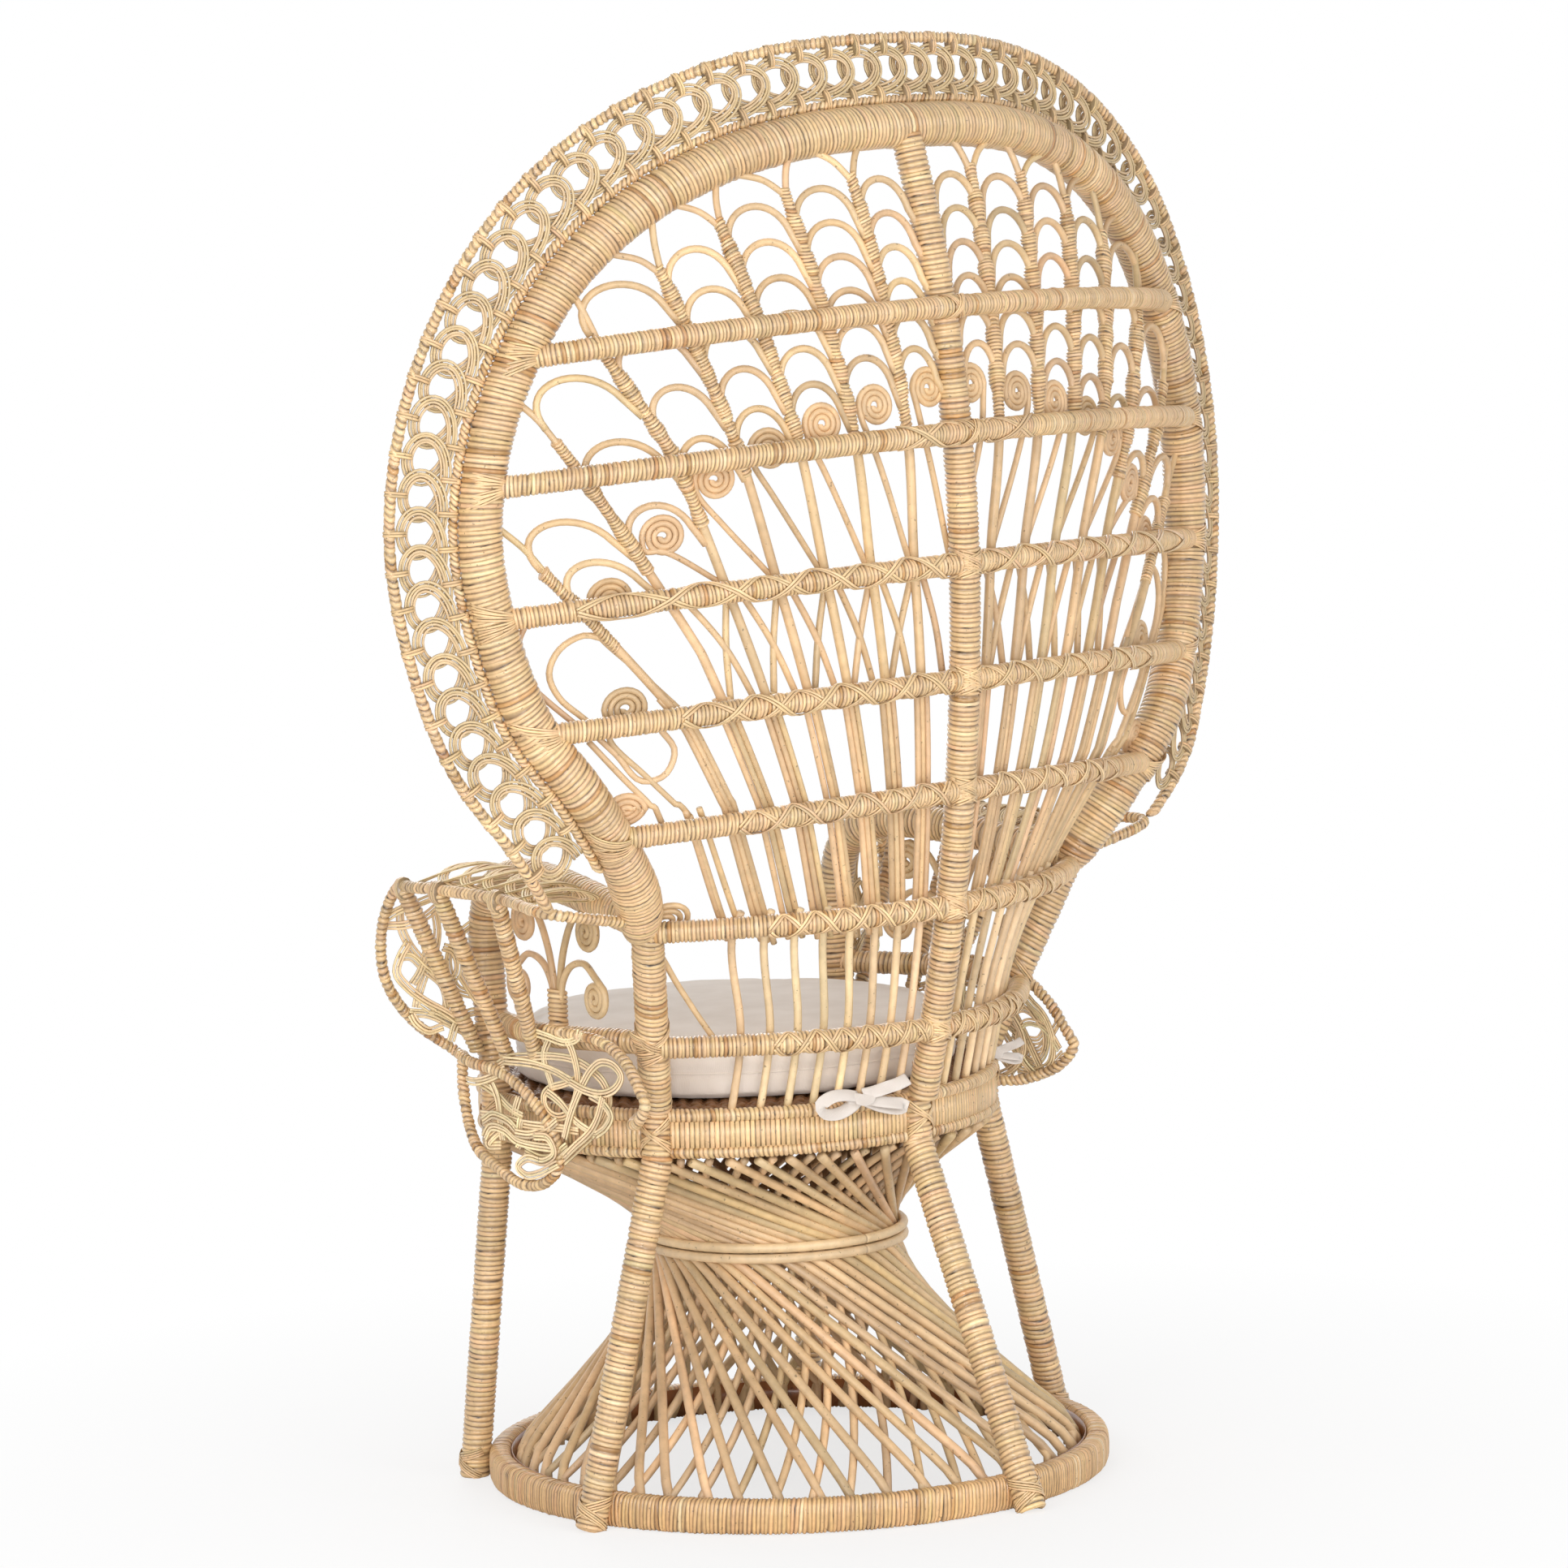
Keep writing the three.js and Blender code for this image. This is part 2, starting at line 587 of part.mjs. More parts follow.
// The upper bars pass behind the spine; each other bar's halves are held by a bound collar round it
const barCutters = [];
for (let index = 0; index < BAR_HEIGHTS.length; index += 1) {
  const path = [];
  for (let i = -BAR_HALF_STEPS; i <= BAR_HALF_STEPS; i += 1) path.push(barPoint(index, i / BAR_HALF_STEPS));
  const bodies = [solid(rod(path, BAR_DIAMETER, SIDES_BAR))];
  barCutters.push(solid(rod(path, BAR_DIAMETER, SIDES_BAR, CLEARANCE)));
  if (index >= FIRST_COLLARED_BAR) {
    const ends = [-COLLAR_HEIGHT / 2, COLLAR_HEIGHT / 2].map((rise) => spinePoint(BAR_HEIGHTS[index] + rise));
    bodies.push(solid(rod(ends, SPINE_DIAMETER + 2 * (CLEARANCE + COLLAR_WALL), SIDES_THICK)));
  }
  add(`crossbar_${index + 1}`, cut(fuse(bodies), [hoopCutter, spineCutter, ...postCutters]), RATTAN);
}

// Ribs run straight down to the seat ring, and the outer ones flare as they near the hoop
function ribX(index, z) {
  const straight = index * RIB_SPREAD * (Math.max(z, RIB_PARALLEL_BELOW) - FAN_HEIGHT);
  const flare = (rib) => RIB_FLARE[rib] * Math.max(z - RIB_FLARE_FROM[rib], 0);
  const inner = Math.floor(index);
  return straight + THREE.MathUtils.lerp(flare(inner), flare(Math.ceil(index)), index - inner);
}

function ribPoint(index, z, side) {
  const x = side * ribX(index, z);
  return dish(x, z).addScaledVector(dishNormal(x, z), ribLift(z));
}

// Height at which a rib is a given distance from the fan's origin
function ribHeight(index, distance) {
  return FAN_HEIGHT + distance / Math.hypot(1, index * RIB_SPREAD);
}

// A rib bends where it meets a bar, where it turns upright and where it sets back
function ribRod(index, side) {
  const top = RIB_TOPS[index - 1];
  const setBack = (RIB_SET_BACK_FROM + RIB_SET_BACK_FULL) / 2;
  const bends = new Set([SEAT_HEIGHT, RIB_PARALLEL_BELOW, setBack, RIB_FLARE_FROM[index], ...BAR_HEIGHTS]);
  const inside = [...bends].filter((z) => z >= SEAT_HEIGHT && z < top - RIB_DIAMETER);
  const heights = [...inside.sort((a, b) => a - b), top];
  return solid(rod(heights.map((z) => ribPoint(index, z, side)), RIB_DIAMETER, SIDES_THIN));
}

// Strand that leaves a rib upward, arches over and lands beside the rib or spine inside it
function arch(index, distance, side) {
  const at = (rib, reach) => ribPoint(rib, ribHeight(rib, reach), side);
  const neighbour = index > 1 ? RIB_DIAMETER : SPINE_DIAMETER;
  const beside = (neighbour + ARCH_DIAMETER) / 2 + ARCH_CLEARANCE;
  const landing = index - 1 + beside / (RIB_SPREAD * distance);
  const curve = new THREE.CubicBezierCurve3(
    at(index, distance),
    at(index, distance + ARCH_LEAD),
    at(landing + ARCH_LEAN, distance + ARCH_RISE),
    at(landing, distance + ARCH_LANDING),
  );
  return solid(rod(curve.getPoints(ARCH_STEPS), ARCH_DIAMETER, ARCH_SIDES));
}

for (const [name, side] of [['left', 1], ['right', -1]]) {
  for (let index = 1; index <= RIB_COUNT; index += 1) {
    const bodies = [ribRod(index, side)];
    for (let tier = 0; tier < ARCH_COUNTS[index - 1]; tier += 1) {
      bodies.push(arch(index, ARCH_TOPS[index - 1] - ARCH_PITCHES[index - 1] * tier, side));
    }
    const rib = cut(fuse(bodies), [hoopCutter, topRodCutter, deckCutter]);
    add(`rib_${name}_${index}`, rib, CANE);
  }
}

// Arms
const armFoot = (side) => seatPoint(side * ARM_ANGLE, SEAT_RADIUS, SEAT_HEIGHT);
const hoopEnd = (side) => dish(side * hoopFootX, hoopFootZ + HEAD_OVERLAP);

function armHoopKnots() {
  const front = seatPoint(ARM_ANGLE, SEAT_RADIUS, 0);
  return [
    vector(front.x, front.y, SEAT_HEIGHT),
    vector(front.x + 2, front.y - 2, SEAT_HEIGHT + 90),
    vector(front.x + 4, front.y - 2, ARM_HEIGHT - 62),
    vector(front.x + 7, front.y + 14, ARM_HEIGHT - 20),
    vector(front.x + 12, front.y + 52, ARM_HEIGHT),
    vector(front.x + 26, front.y + 130, ARM_HEIGHT + 2),
    hoopEnd(1),
  ];
}

// Places on the arm's outer face, from the seat's axis and from the arm's top or the seat's height
const nearTop = (out, back, drop) => vector(SEAT_RADIUS + out, back - SEAT_FORWARD, ARM_HEIGHT - drop);
const nearSeat = (out, back, rise) => vector(SEAT_RADIUS + out, back - SEAT_FORWARD, SEAT_HEIGHT + rise);

// From the hoop's foot, past the border's end, round the arm's top, its front wing and its lower lobe
function armRimKnots() {
  const borderEnd = outerRimPath[outerRimPath.length - 1];
  const tied = (OUTER_ROD + ARM_RIM_DIAMETER) / 2;
  return [
    hoopEnd(1),
    borderEnd.clone().add(vector(-1, -1, -1).setLength(tied)),
    nearTop(114, 76, 0), nearTop(107, 1, -1), nearTop(101, -74, 0), nearTop(84, -128, 9),
    nearTop(93, -141, 50), nearTop(90, -142, 101), nearSeat(54, -142, 85), nearSeat(18, -124, 53),
    nearSeat(26, -89, 44), nearSeat(31, -31, 37), nearSeat(34, 16, 15), nearSeat(33, 46, -17),
    nearSeat(32, 52, -49), nearSeat(33, 31, -70), nearSeat(34, -4, -75), nearSeat(31, -42, -63),
    nearSeat(22, -87, -45), nearSeat(13, -112, -11), nearSeat(13, -116, 21),
  ];
}

function rearLobePath(side) {
  const knots = [
    nearSeat(30, 39, 89), nearSeat(31, 92, 87), nearSeat(33, 129, 83), nearSeat(35, 163, 66),
    nearSeat(38, 185, 42), nearSeat(40, 195, 27), nearSeat(34, 178, 8), nearSeat(14, 146, -1),
    nearSeat(-20, 119, 0),
  ];
  return smooth(mirrored(knots, side), REAR_LOBE_STEPS);
}

function armRailPath(side) {
  const knots = [
    seatPoint(ARM_ANGLE, SEAT_RADIUS, ARM_RAIL_HEIGHT),
    seatPoint((ARM_ANGLE + POST_ANGLE) / 2, ARM_RAIL_RADIUS, ARM_RAIL_HEIGHT),
    seatPoint(POST_ANGLE, ARM_RAIL_RADIUS + ARM_RAIL_REAR_OUT, ARM_RAIL_HEIGHT),
  ];
  return smooth(mirrored(knots, side), ARM_RAIL_STEPS);
}

// Strand that ends in a flat spiral, in the upright plane of the arm; u runs along the rail
function scrollPath(base, stem, centre, spin, place) {
  const points = [base, ...stem];
  const steps = SCROLL_TURNS * SCROLL_STEPS;
  const start = stem[stem.length - 1];
  const begin = Math.atan2(start[1] - centre[1], start[0] - centre[0]);
  for (let i = 1; i <= steps; i += 1) {
    const radius = THREE.MathUtils.lerp(SCROLL_RADIUS, SCROLL_STRAND * 0.35, i / steps);
    const angle = begin + (spin * 2 * Math.PI * SCROLL_TURNS * i) / steps;
    points.push([centre[0] + radius * Math.cos(angle), centre[1] + radius * Math.sin(angle)]);
  }
  return points.map(([u, v]) => place(u, v));
}

function scrollTree(side, railPath) {
  const middle = railPath[Math.floor(railPath.length / 2)];
  const forward = armFoot(side).setZ(0).sub(hoopEnd(side).setZ(0)).normalize();
  const place = (u, v) => vector(middle.x, middle.y, ARM_RAIL_HEIGHT + v).addScaledVector(forward, u);
  const bodies = [solid(rod([place(0, 0), place(0, TRUNK_HEIGHT)], TRUNK_DIAMETER, SIDES_BAR))];
  const crown = ARM_HEIGHT - ARM_HOOP_DIAMETER / 2 - ARM_RAIL_HEIGHT - UPPER_SCROLL_GAP;
  const [far, near] = [LOWER_SCROLL_OUT, UPPER_SCROLL_OUT];
  for (const spin of [-1, 1]) {
    const root = [spin * STEM_OUT, STEM_HEIGHT];
    const upper = [[spin * near * 0.26, crown * 0.69], [spin * near * 0.52, crown * 0.91],
      [spin * near, crown]];
    const lower = [[spin * far * 0.36, TRUNK_HEIGHT * 1.6], [spin * far * 0.77, TRUNK_HEIGHT * 1.77],
      [spin * far * 1.07, LOWER_SCROLL_HEIGHT]];
    for (const [stem, out, height] of [[upper, near, crown], [lower, far, LOWER_SCROLL_HEIGHT]]) {
      const path = scrollPath(root, stem, [spin * out, height - SCROLL_RADIUS], -spin, place);
      bodies.push(solid(rod(path, SCROLL_STRAND, SIDES_STRAND)));
    }
  }
  return fuse(bodies);
}

// Lace on the arm's top: a strand that loops between the arm hoop and the outer rim
function shelfLace(side) {
  const inner = new THREE.CatmullRomCurve3(mirrored(armHoopKnots().slice(3), side));
  const outer = new THREE.CatmullRomCurve3(mirrored(armRimKnots().slice(1, 6).reverse(), side));
  const length = (inner.getLength() + outer.getLength()) / 2;
  const innerGap = ARM_HOOP_DIAMETER / 2;
  const outerGap = ARM_RIM_DIAMETER / 2 + SHELF_MARGIN + LACE_STRAND / 2;
  const points = [];
  for (let step = 0; step <= SHELF_RINGS * LACE_STEPS; step += 1) {
    const turn = (2 * Math.PI * step) / LACE_STEPS;
    const along = SHELF_START + (SHELF_PITCH * step) / LACE_STEPS + LACE_SWING * Math.sin(turn);
    const from = inner.getPointAt(along / length);
    const to = outer.getPointAt(along / length);
    const width = from.distanceTo(to);
    const across = THREE.MathUtils.mapLinear(Math.cos(turn), -1, 1, innerGap / width, 1 - outerGap / width);
    points.push(from.lerp(to, across).add(vector(0, 0, LACE_LIFT * Math.sin(turn))));
  }
  console.log(`arm lace: least gap ${leastSelfGap(points, LACE_STRAND).toFixed(2)} mm`);
  return solid(rod(points, LACE_STRAND, LACE_SIDES));
}

const lowBarCutter = barCutters[BAR_HEIGHTS.length - 2];
for (const [name, side] of [['left', 1], ['right', -1]]) {
  const hoopPoints = smooth(mirrored(armHoopKnots(), side), ARM_HOOP_STEPS);
  const rimPoints = smooth(mirrored(armRimKnots(), side), ARM_RIM_STEPS);
  const railPoints = armRailPath(side);
  const post = postCutters[side > 0 ? 0 : 1];
  const armHoopCutter = solid(rod(hoopPoints, ARM_HOOP_DIAMETER, SIDES_THICK, CLEARANCE));
  const rimCutter = solid(rod(rimPoints, ARM_RIM_DIAMETER, SIDES_THIN, CLEARANCE));
  const railCutter = solid(rod(railPoints, ARM_RAIL_DIAMETER, SIDES_BAR, CLEARANCE));
  const outerCutter = solid(rod(outerRimPath, OUTER_ROD, SIDES_THIN, CLEARANCE));

  const armHoop = solid(rod(hoopPoints, ARM_HOOP_DIAMETER, SIDES_THICK));
  add(`${name}_arm_hoop`, cut(armHoop, [hoopCutter, post, topRodCutter, deckCutter, lowBarCutter]), RATTAN);
  const rail = solid(rod(railPoints, ARM_RAIL_DIAMETER, SIDES_BAR));
  add(`${name}_arm_rail`, cut(rail, [armHoopCutter, post]), RATTAN);
  const rim = solid(rod(rimPoints, ARM_RIM_DIAMETER, SIDES_THIN));
  add(`${name}_arm_rim`, cut(rim, [outerCutter, hoopCutter, armHoopCutter, post]), RATTAN);
  const lobe = solid(rod(rearLobePath(side), ARM_RIM_DIAMETER, SIDES_THIN));
  add(`${name}_rear_lobe_rim`, cut(lobe, [railCutter, post, topRodCutter, rimCutter]), RATTAN);

  STRUT_ANGLES.forEach((angle, index) => {
    const foot = seatPoint(side * angle, STRUT_RADIUS, STRUT_HEIGHT);
    const path = [foot, rimPoints[STRUT_TOP_STEPS[index]]];
    const strut = cut(solid(rod(path, STRUT_DIAMETER, SIDES_BAR)), [rimCutter, railCutter, armHoopCutter]);
    add(`${name}_arm_strut_${index + 1}`, strut, RATTAN);
  });

  const tree = cut(scrollTree(side, railPoints), [railCutter, armHoopCutter, post, hoopCutter]);
  add(`${name}_arm_scrolls`, tree, CANE);
  add(`${name}_arm_lace`, cut(shelfLace(side), [armHoopCutter]), STRAW);
}

add('tie_bow_rear', cut(bow(BOW_REAR_ANGLE), [topRodCutter, spineCutter]), COTTON);
add('tie_bow_right', cut(bow(BOW_RIGHT_ANGLE), [topRodCutter, postCutters[1]]), COTTON);

// Origin under the middle of the chair's box
const box = new THREE.Box3().setFromObject(chair);
chair.position.set(-(box.min.x + box.max.x) / 2, -(box.min.y + box.max.y) / 2, -box.min.z);

export default chair;
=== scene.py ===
# Peacock chair: wrapped rattan frame, woven lace, bare canes and a tied cotton pad.
# Lengths are millimetres in the chair's own frame until a mesh is made.
import math
import bpy
import numpy as np
from mathutils import Matrix, Vector


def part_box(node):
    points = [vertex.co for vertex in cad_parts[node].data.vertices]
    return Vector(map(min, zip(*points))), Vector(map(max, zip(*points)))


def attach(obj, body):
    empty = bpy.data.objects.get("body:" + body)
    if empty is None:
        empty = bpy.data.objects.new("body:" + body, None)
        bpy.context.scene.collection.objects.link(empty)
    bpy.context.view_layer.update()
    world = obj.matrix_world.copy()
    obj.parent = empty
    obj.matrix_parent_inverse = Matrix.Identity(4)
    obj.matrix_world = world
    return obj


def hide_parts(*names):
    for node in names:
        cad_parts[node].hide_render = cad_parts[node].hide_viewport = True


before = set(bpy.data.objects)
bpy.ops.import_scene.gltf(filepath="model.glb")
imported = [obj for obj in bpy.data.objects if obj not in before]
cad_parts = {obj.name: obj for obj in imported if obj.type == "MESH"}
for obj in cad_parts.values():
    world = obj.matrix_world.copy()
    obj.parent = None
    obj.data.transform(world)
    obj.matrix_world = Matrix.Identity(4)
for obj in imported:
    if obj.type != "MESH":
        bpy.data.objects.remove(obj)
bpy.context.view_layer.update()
rng = np.random.default_rng(7)
MM = 0.001
FLOOR_GAP = 0.1
UP = np.array([0, 0, 1.0])
BACK = np.array([0, 1.0, 0])
SIDES = (1, -1)
base_low, base_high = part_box("base_hoop")
SHIFT_Y = (base_low[1] + base_high[1]) / 2 / MM

# Sizes shared with the frame
CREST_Z, CREST_BACK, UPPER_RADIUS, LOWER_RADIUS = 985, 284, 1320, 1900
DISH_RADIUS, DISH_FOOT_RADIUS, DISH_FOOT_Z, DISH_FULL_Z, DISH_BLEND = 770, 240, 490, 745, 2.2
BORDER_RADIUS, BORDER_WIDTH, BORDER_STOP = 1150, 92, 2 / 42
HOOP_OUTLINE = [(0, 1408), (130, 1402), (230, 1381), (322, 1340), (396, 1281), (446, 1212), (484, 1125),
                (500, 1030), (492, 946), (462, 845), (412, 768), (356, 697), (320, 648), (302, 614)]
HOOP_DIAMETER, INNER_ROD, OUTER_ROD, HEAD_OVERLAP = 45, 9, 11, 9
SPINE_DIAMETER, SPINE_SET_BACK, SPINE_TOP = 31, 4, 1398
BAR_DIAMETER, COLLARED_BAR = 22, 2
BAR_Z = [1223, 1099, 968, 850, 737, 618, 490]
BAR_DROOP = [24, 24, 22, 20, 14, 0, 0]
RIBS, RIB_SPREAD, FAN_Z, RIB_PARALLEL_Z, RIB_DIAMETER = 7, 0.0738, 222, 555, 9
RIB_FLARE = np.array([0, 0, 0, 0, 0, 0.16, 0.15, 0.3, 0.3])
RIB_FLARE_Z = np.array([0, 0, 0, 0, 0, 1100, 900, 825, 825])
LIFT_LOW, LIFT_HIGH, SET_BACK_Z, SET_BACK_FULL_Z = 11, -3, 960, 1120
ARCH_TOPS = [1100, 1100, 1098, 1076, 1066, 997, 871]
ARCH_PITCHES = [34, 34, 36, 41, 54, 69, 46]
ARCH_COUNTS = [6, 6, 6, 5, 4, 3, 2]
SEAT_FORWARD, SEAT_RADIUS, SEAT_Z, APRON_DEPTH = 76, 268, 413, 38
TOP_ROD, BOTTOM_ROD = 14, 12
POST_ANGLE, POST_DIAMETER, ARM_ANGLE = 61, 33, 112
LEG_DIAMETER, FOOT_RADIUS = 31, 343
LEG_ANGLES = [(0, 0), (82, 61), (-82, -61), (136, 112), (-136, -112)]
BASE_RADIUS, BASE_HEIGHT, BASE_WALL = 326, 36, 24
WAIST_RADIUS, WAIST_Z, WAIST_FORWARD = 126, 251, 25
CANE_COUNT, CANE_DIAMETER = 48, 8.5
DECK_TOP, PAD_RADIUS, PAD_THICKNESS = 426, 245, 54
ARM_Z, ARM_RAIL_Z, ARM_RAIL_RADIUS, ARM_RAIL_REAR = 648, 494, 287, 305
ARM_RIM_DIAMETER, ARM_RAIL_DIAMETER, STRUT_FOOT_RADIUS, STRUT_FOOT_Z = 11, 24, 292, 470

# Colours as they look, 0 to 255
WRAP = (219, 184, 137)
WRAP_PALE = (233, 203, 158)
WRAP_DARK = (190, 146, 94)
BASE_WRAP = (217, 176, 124)
LACING = (223, 190, 144)
# Painted shade: dark lines in the gaps between wound strips, and darker spots in a few of those gaps
GAP_SHADE = (70, 40, 17)
DEEP_GAP_SHADE = (40, 24, 12)
BARE = (211, 179, 137)
BARE_PALE = (227, 198, 157)
# Inside of the floor hoop: its raw brown face, darkened further by painted shade
RAW_INNER_FACE_IN_SHADE = (146, 90, 48)
REED = (230, 193, 143)
# Seat deck reeds, made dark as painted shade under the pad
DECK_REED_SHADED = (128, 88, 52)
LACE = (202, 177, 135)
LACE_PALE = (242, 217, 173)
# Right side's lobe ribbons, made lighter: painted light where that side lies in shadow
LACE_LIT_RIGHT = (250, 226, 184)
COTTON = (244, 235, 226)
COTTON_SHADE = (231, 220, 209)
# Tape cotton: the pad's cotton made darker, painted shade on the bows, which the lamps light directly
TAPE_SHADED = (222, 213, 205)
TAPE_SHADED_DULL = (206, 196, 187)


def linear(colour):
    c = np.asarray(colour, float) / 255
    return np.where(c < 0.04045, c / 12.92, ((c + 0.055) / 1.055) ** 2.4)


def unit(v):
    return v / np.maximum(np.linalg.norm(v, axis=-1, keepdims=True), 1e-9)


def circle(count):
    return np.linspace(0, 2 * np.pi, count, endpoint=False)


def read(at, places, values):
    """Rows of values, read between the places that they belong to."""
    return np.stack([np.interp(at, places, column) for column in values.T], axis=-1)


# Paths

SPLINE_STEPS = 24


def smooth(knots, steps):
    """Points evenly spaced on a centripetal spline through the knots."""
    p = np.asarray(knots, float)
    p = np.vstack([2 * p[0] - p[1], p, 2 * p[-1] - p[-2]])
    dense = []
    for i in range(1, len(p) - 2):
        four = p[i - 1:i + 3]
        at = np.append(0, np.cumsum(np.linalg.norm(np.diff(four, axis=0), axis=1) ** 0.5))
        t = np.linspace(at[1], at[2], SPLINE_STEPS, endpoint=False)[:, None]

        def between(low, high, first, second):
            span = at[high] - at[low]
            return (at[high] - t) / span * first + (t - at[low]) / span * second

        ab, bc, cd = [between(k, k + 1, four[k], four[k + 1]) for k in range(3)]
        dense.append(between(1, 2, between(0, 2, ab, bc), between(1, 3, bc, cd)))
    dense.append(p[-2][None])
    return even(np.vstack(dense), steps)


def lengths(points):
    return np.append(0, np.cumsum(np.linalg.norm(np.diff(points, axis=0), axis=1)))


def along(points, at):
    return read(at, lengths(points), points)


def even(points, steps):
    """The same line with evenly spaced points."""
    return along(points, np.linspace(0, lengths(points)[-1], steps + 1))


def bezier(a, b, c, d, steps):
    t = np.linspace(0, 1, steps + 1)[:, None]
    return (1 - t) ** 3 * a + 3 * t * (1 - t) ** 2 * b + 3 * t * t * (1 - t) * c + t ** 3 * d


def on_side(points, side):
    """The points on the sitter's left, or their mirror on the right."""
    return np.asarray(points, float) * np.array([side, 1, 1])


# Chair's surfaces

def spine_back(z):
    radius = np.where(np.asarray(z) > CREST_Z, UPPER_RADIUS, LOWER_RADIUS)
    return CREST_BACK - (np.asarray(z, float) - CREST_Z) ** 2 / (2 * radius)


def dish_radius(z):
    share = np.clip((np.asarray(z, float) - DISH_FOOT_Z) / (DISH_FULL_Z - DISH_FOOT_Z), 0, 1)
    return DISH_FOOT_RADIUS + (DISH_RADIUS - DISH_FOOT_RADIUS) * share ** DISH_BLEND


def dish(x, z):
    x, z = np.broadcast_arrays(np.asarray(x, float), np.asarray(z, float))
    return np.stack([x, spine_back(z) - x * x / (2 * dish_radius(z)), z], axis=-1)


def dish_normal(x, z):
    across = dish(np.asarray(x) + 1, z) - dish(np.asarray(x) - 1, z)
    upward = dish(x, np.asarray(z) + 1) - dish(x, np.asarray(z) - 1)
    return unit(np.cross(across, upward))


def lifted(x, z, lift):
    """Points off the dish, toward the sitter where lift is positive."""
    return dish(x, z) + dish_normal(x, z) * np.asarray(lift, float)[..., None]


def ring_point(angle, radius, z, forward=0):
    """Points round an upright axis, by the angle from straight behind the sitter."""
    a = np.radians(angle)
    return np.stack(np.broadcast_arrays(radius * np.sin(a), -forward + radius * np.cos(a), z), axis=-1)


def seat_point(angle, radius, z):
    return ring_point(angle, radius, z, SEAT_FORWARD)


def rib_lift(z):
    share = np.clip((np.asarray(z, float) - SET_BACK_Z) / (SET_BACK_FULL_Z - SET_BACK_Z), 0, 1)
    return LIFT_LOW + (LIFT_HIGH - LIFT_LOW) * share * share * (3 - 2 * share)


def rib_x(j, z):
    """Distance of a rib from the middle; ribs count from the spine, and parts of a number lie between."""
    j, z = np.broadcast_arrays(np.asarray(j, float), np.asarray(z, float))
    inner = np.clip(np.floor(j).astype(int), 0, len(RIB_FLARE) - 2)
    low, high = [RIB_FLARE[k] * np.maximum(z - RIB_FLARE_Z[k], 0) for k in (inner, inner + 1)]
    return j * RIB_SPREAD * (np.maximum(z, RIB_PARALLEL_Z) - FAN_Z) + low + (high - low) * (j - inner)


def rib_z(j, distance):
    return FAN_Z + distance / np.hypot(1, np.asarray(j, float) * RIB_SPREAD)


def rib_at(j, z, side):
    return lifted(side * rib_x(j, z), z, rib_lift(z))


# Meshes

def added(name, data):
    obj = bpy.data.objects.new(name, data)
    bpy.context.scene.collection.objects.link(obj)
    return obj


class Piece:
    """Gathers tubes into one mesh with a colour on each vertex."""

    def __init__(self, name):
        self.name = name
        self.points = []
        self.colours = []
        self.faces = []
        self.count = 0

    def grid(self, rows, colours, closed_ends=True):
        """Rows of points joined into a tube."""
        n, m = rows.shape[:2]
        index = self.count + np.arange(n * m).reshape(n, m)
        nxt = np.roll(index, -1, axis=1)
        quads = np.stack([index[:-1], nxt[:-1], nxt[1:], index[1:]], axis=-1)
        self.faces.extend(quads.reshape(-1, 4).tolist())
        if closed_ends:
            self.faces.append(index[0][::-1].tolist())
            self.faces.append(index[-1].tolist())
        self.points.append(rows.reshape(-1, 3))
        self.colours.append(np.broadcast_to(colours, (n, m, 3)).reshape(-1, 3))
        self.count += n * m

    def make(self, material, *nodes):
        points = np.vstack(self.points) + np.array([0, SHIFT_Y, 0])
        points[:, 2] = np.maximum(points[:, 2], FLOOR_GAP)
        mesh = bpy.data.meshes.new(self.name)
        mesh.from_pydata((points * MM).tolist(), [], self.faces)
        mesh.polygons.foreach_set("use_smooth", [True] * len(mesh.polygons))
        tint = mesh.color_attributes.new("tint", "FLOAT_COLOR", "POINT")
        colours = np.clip(np.vstack(self.colours), 0, 1)
        tint.data.foreach_set("color", np.hstack([colours, np.ones((len(colours), 1))]).ravel())
        mesh.materials.append(material)
        obj = added(self.name, mesh)
        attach(obj, "root")
        if nodes:
            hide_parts(*nodes)
        return obj


def frames(points, first=None):
    """Tangent and two normals at each point, turned as little as possible from one to the next."""
    tangent = unit(np.gradient(points, axis=0))
    start = UP if first is None else np.asarray(first, float)
    if abs(np.dot(start, tangent[0])) > 0.95:
        start = np.array([1.0, 0.3, 0])
    normals = [start]
    for t in tangent:
        normal = normals[-1] - t * np.dot(normals[-1], t)
        normals.append(normal / np.linalg.norm(normal))
    normals = np.array(normals[1:])
    return tangent, normals, np.cross(tangent, normals)


def section(a, b, turn):
    """Round outline about each point of a line, from the line's two normals."""
    return a[:, None] * np.cos(turn)[None, :, None] + b[:, None] * np.sin(turn)[None, :, None]


HUE_SPREAD = 0.02


def shades(base, count, spread=0.1):
    """Colours near a base one, each a little lighter or darker."""
    lighter = 1 + spread * rng.standard_normal((count, 1))
    return linear(base) * lighter * (1 + HUE_SPREAD * rng.standard_normal((count, 3)))


# How far a cane's thickness and colour change along it, and over what length
SWELL, SWELL_LENGTH, FADE, FADE_LENGTH, WRAP_FADE_LENGTH = 0.02, 17, 0.05, 31, 33


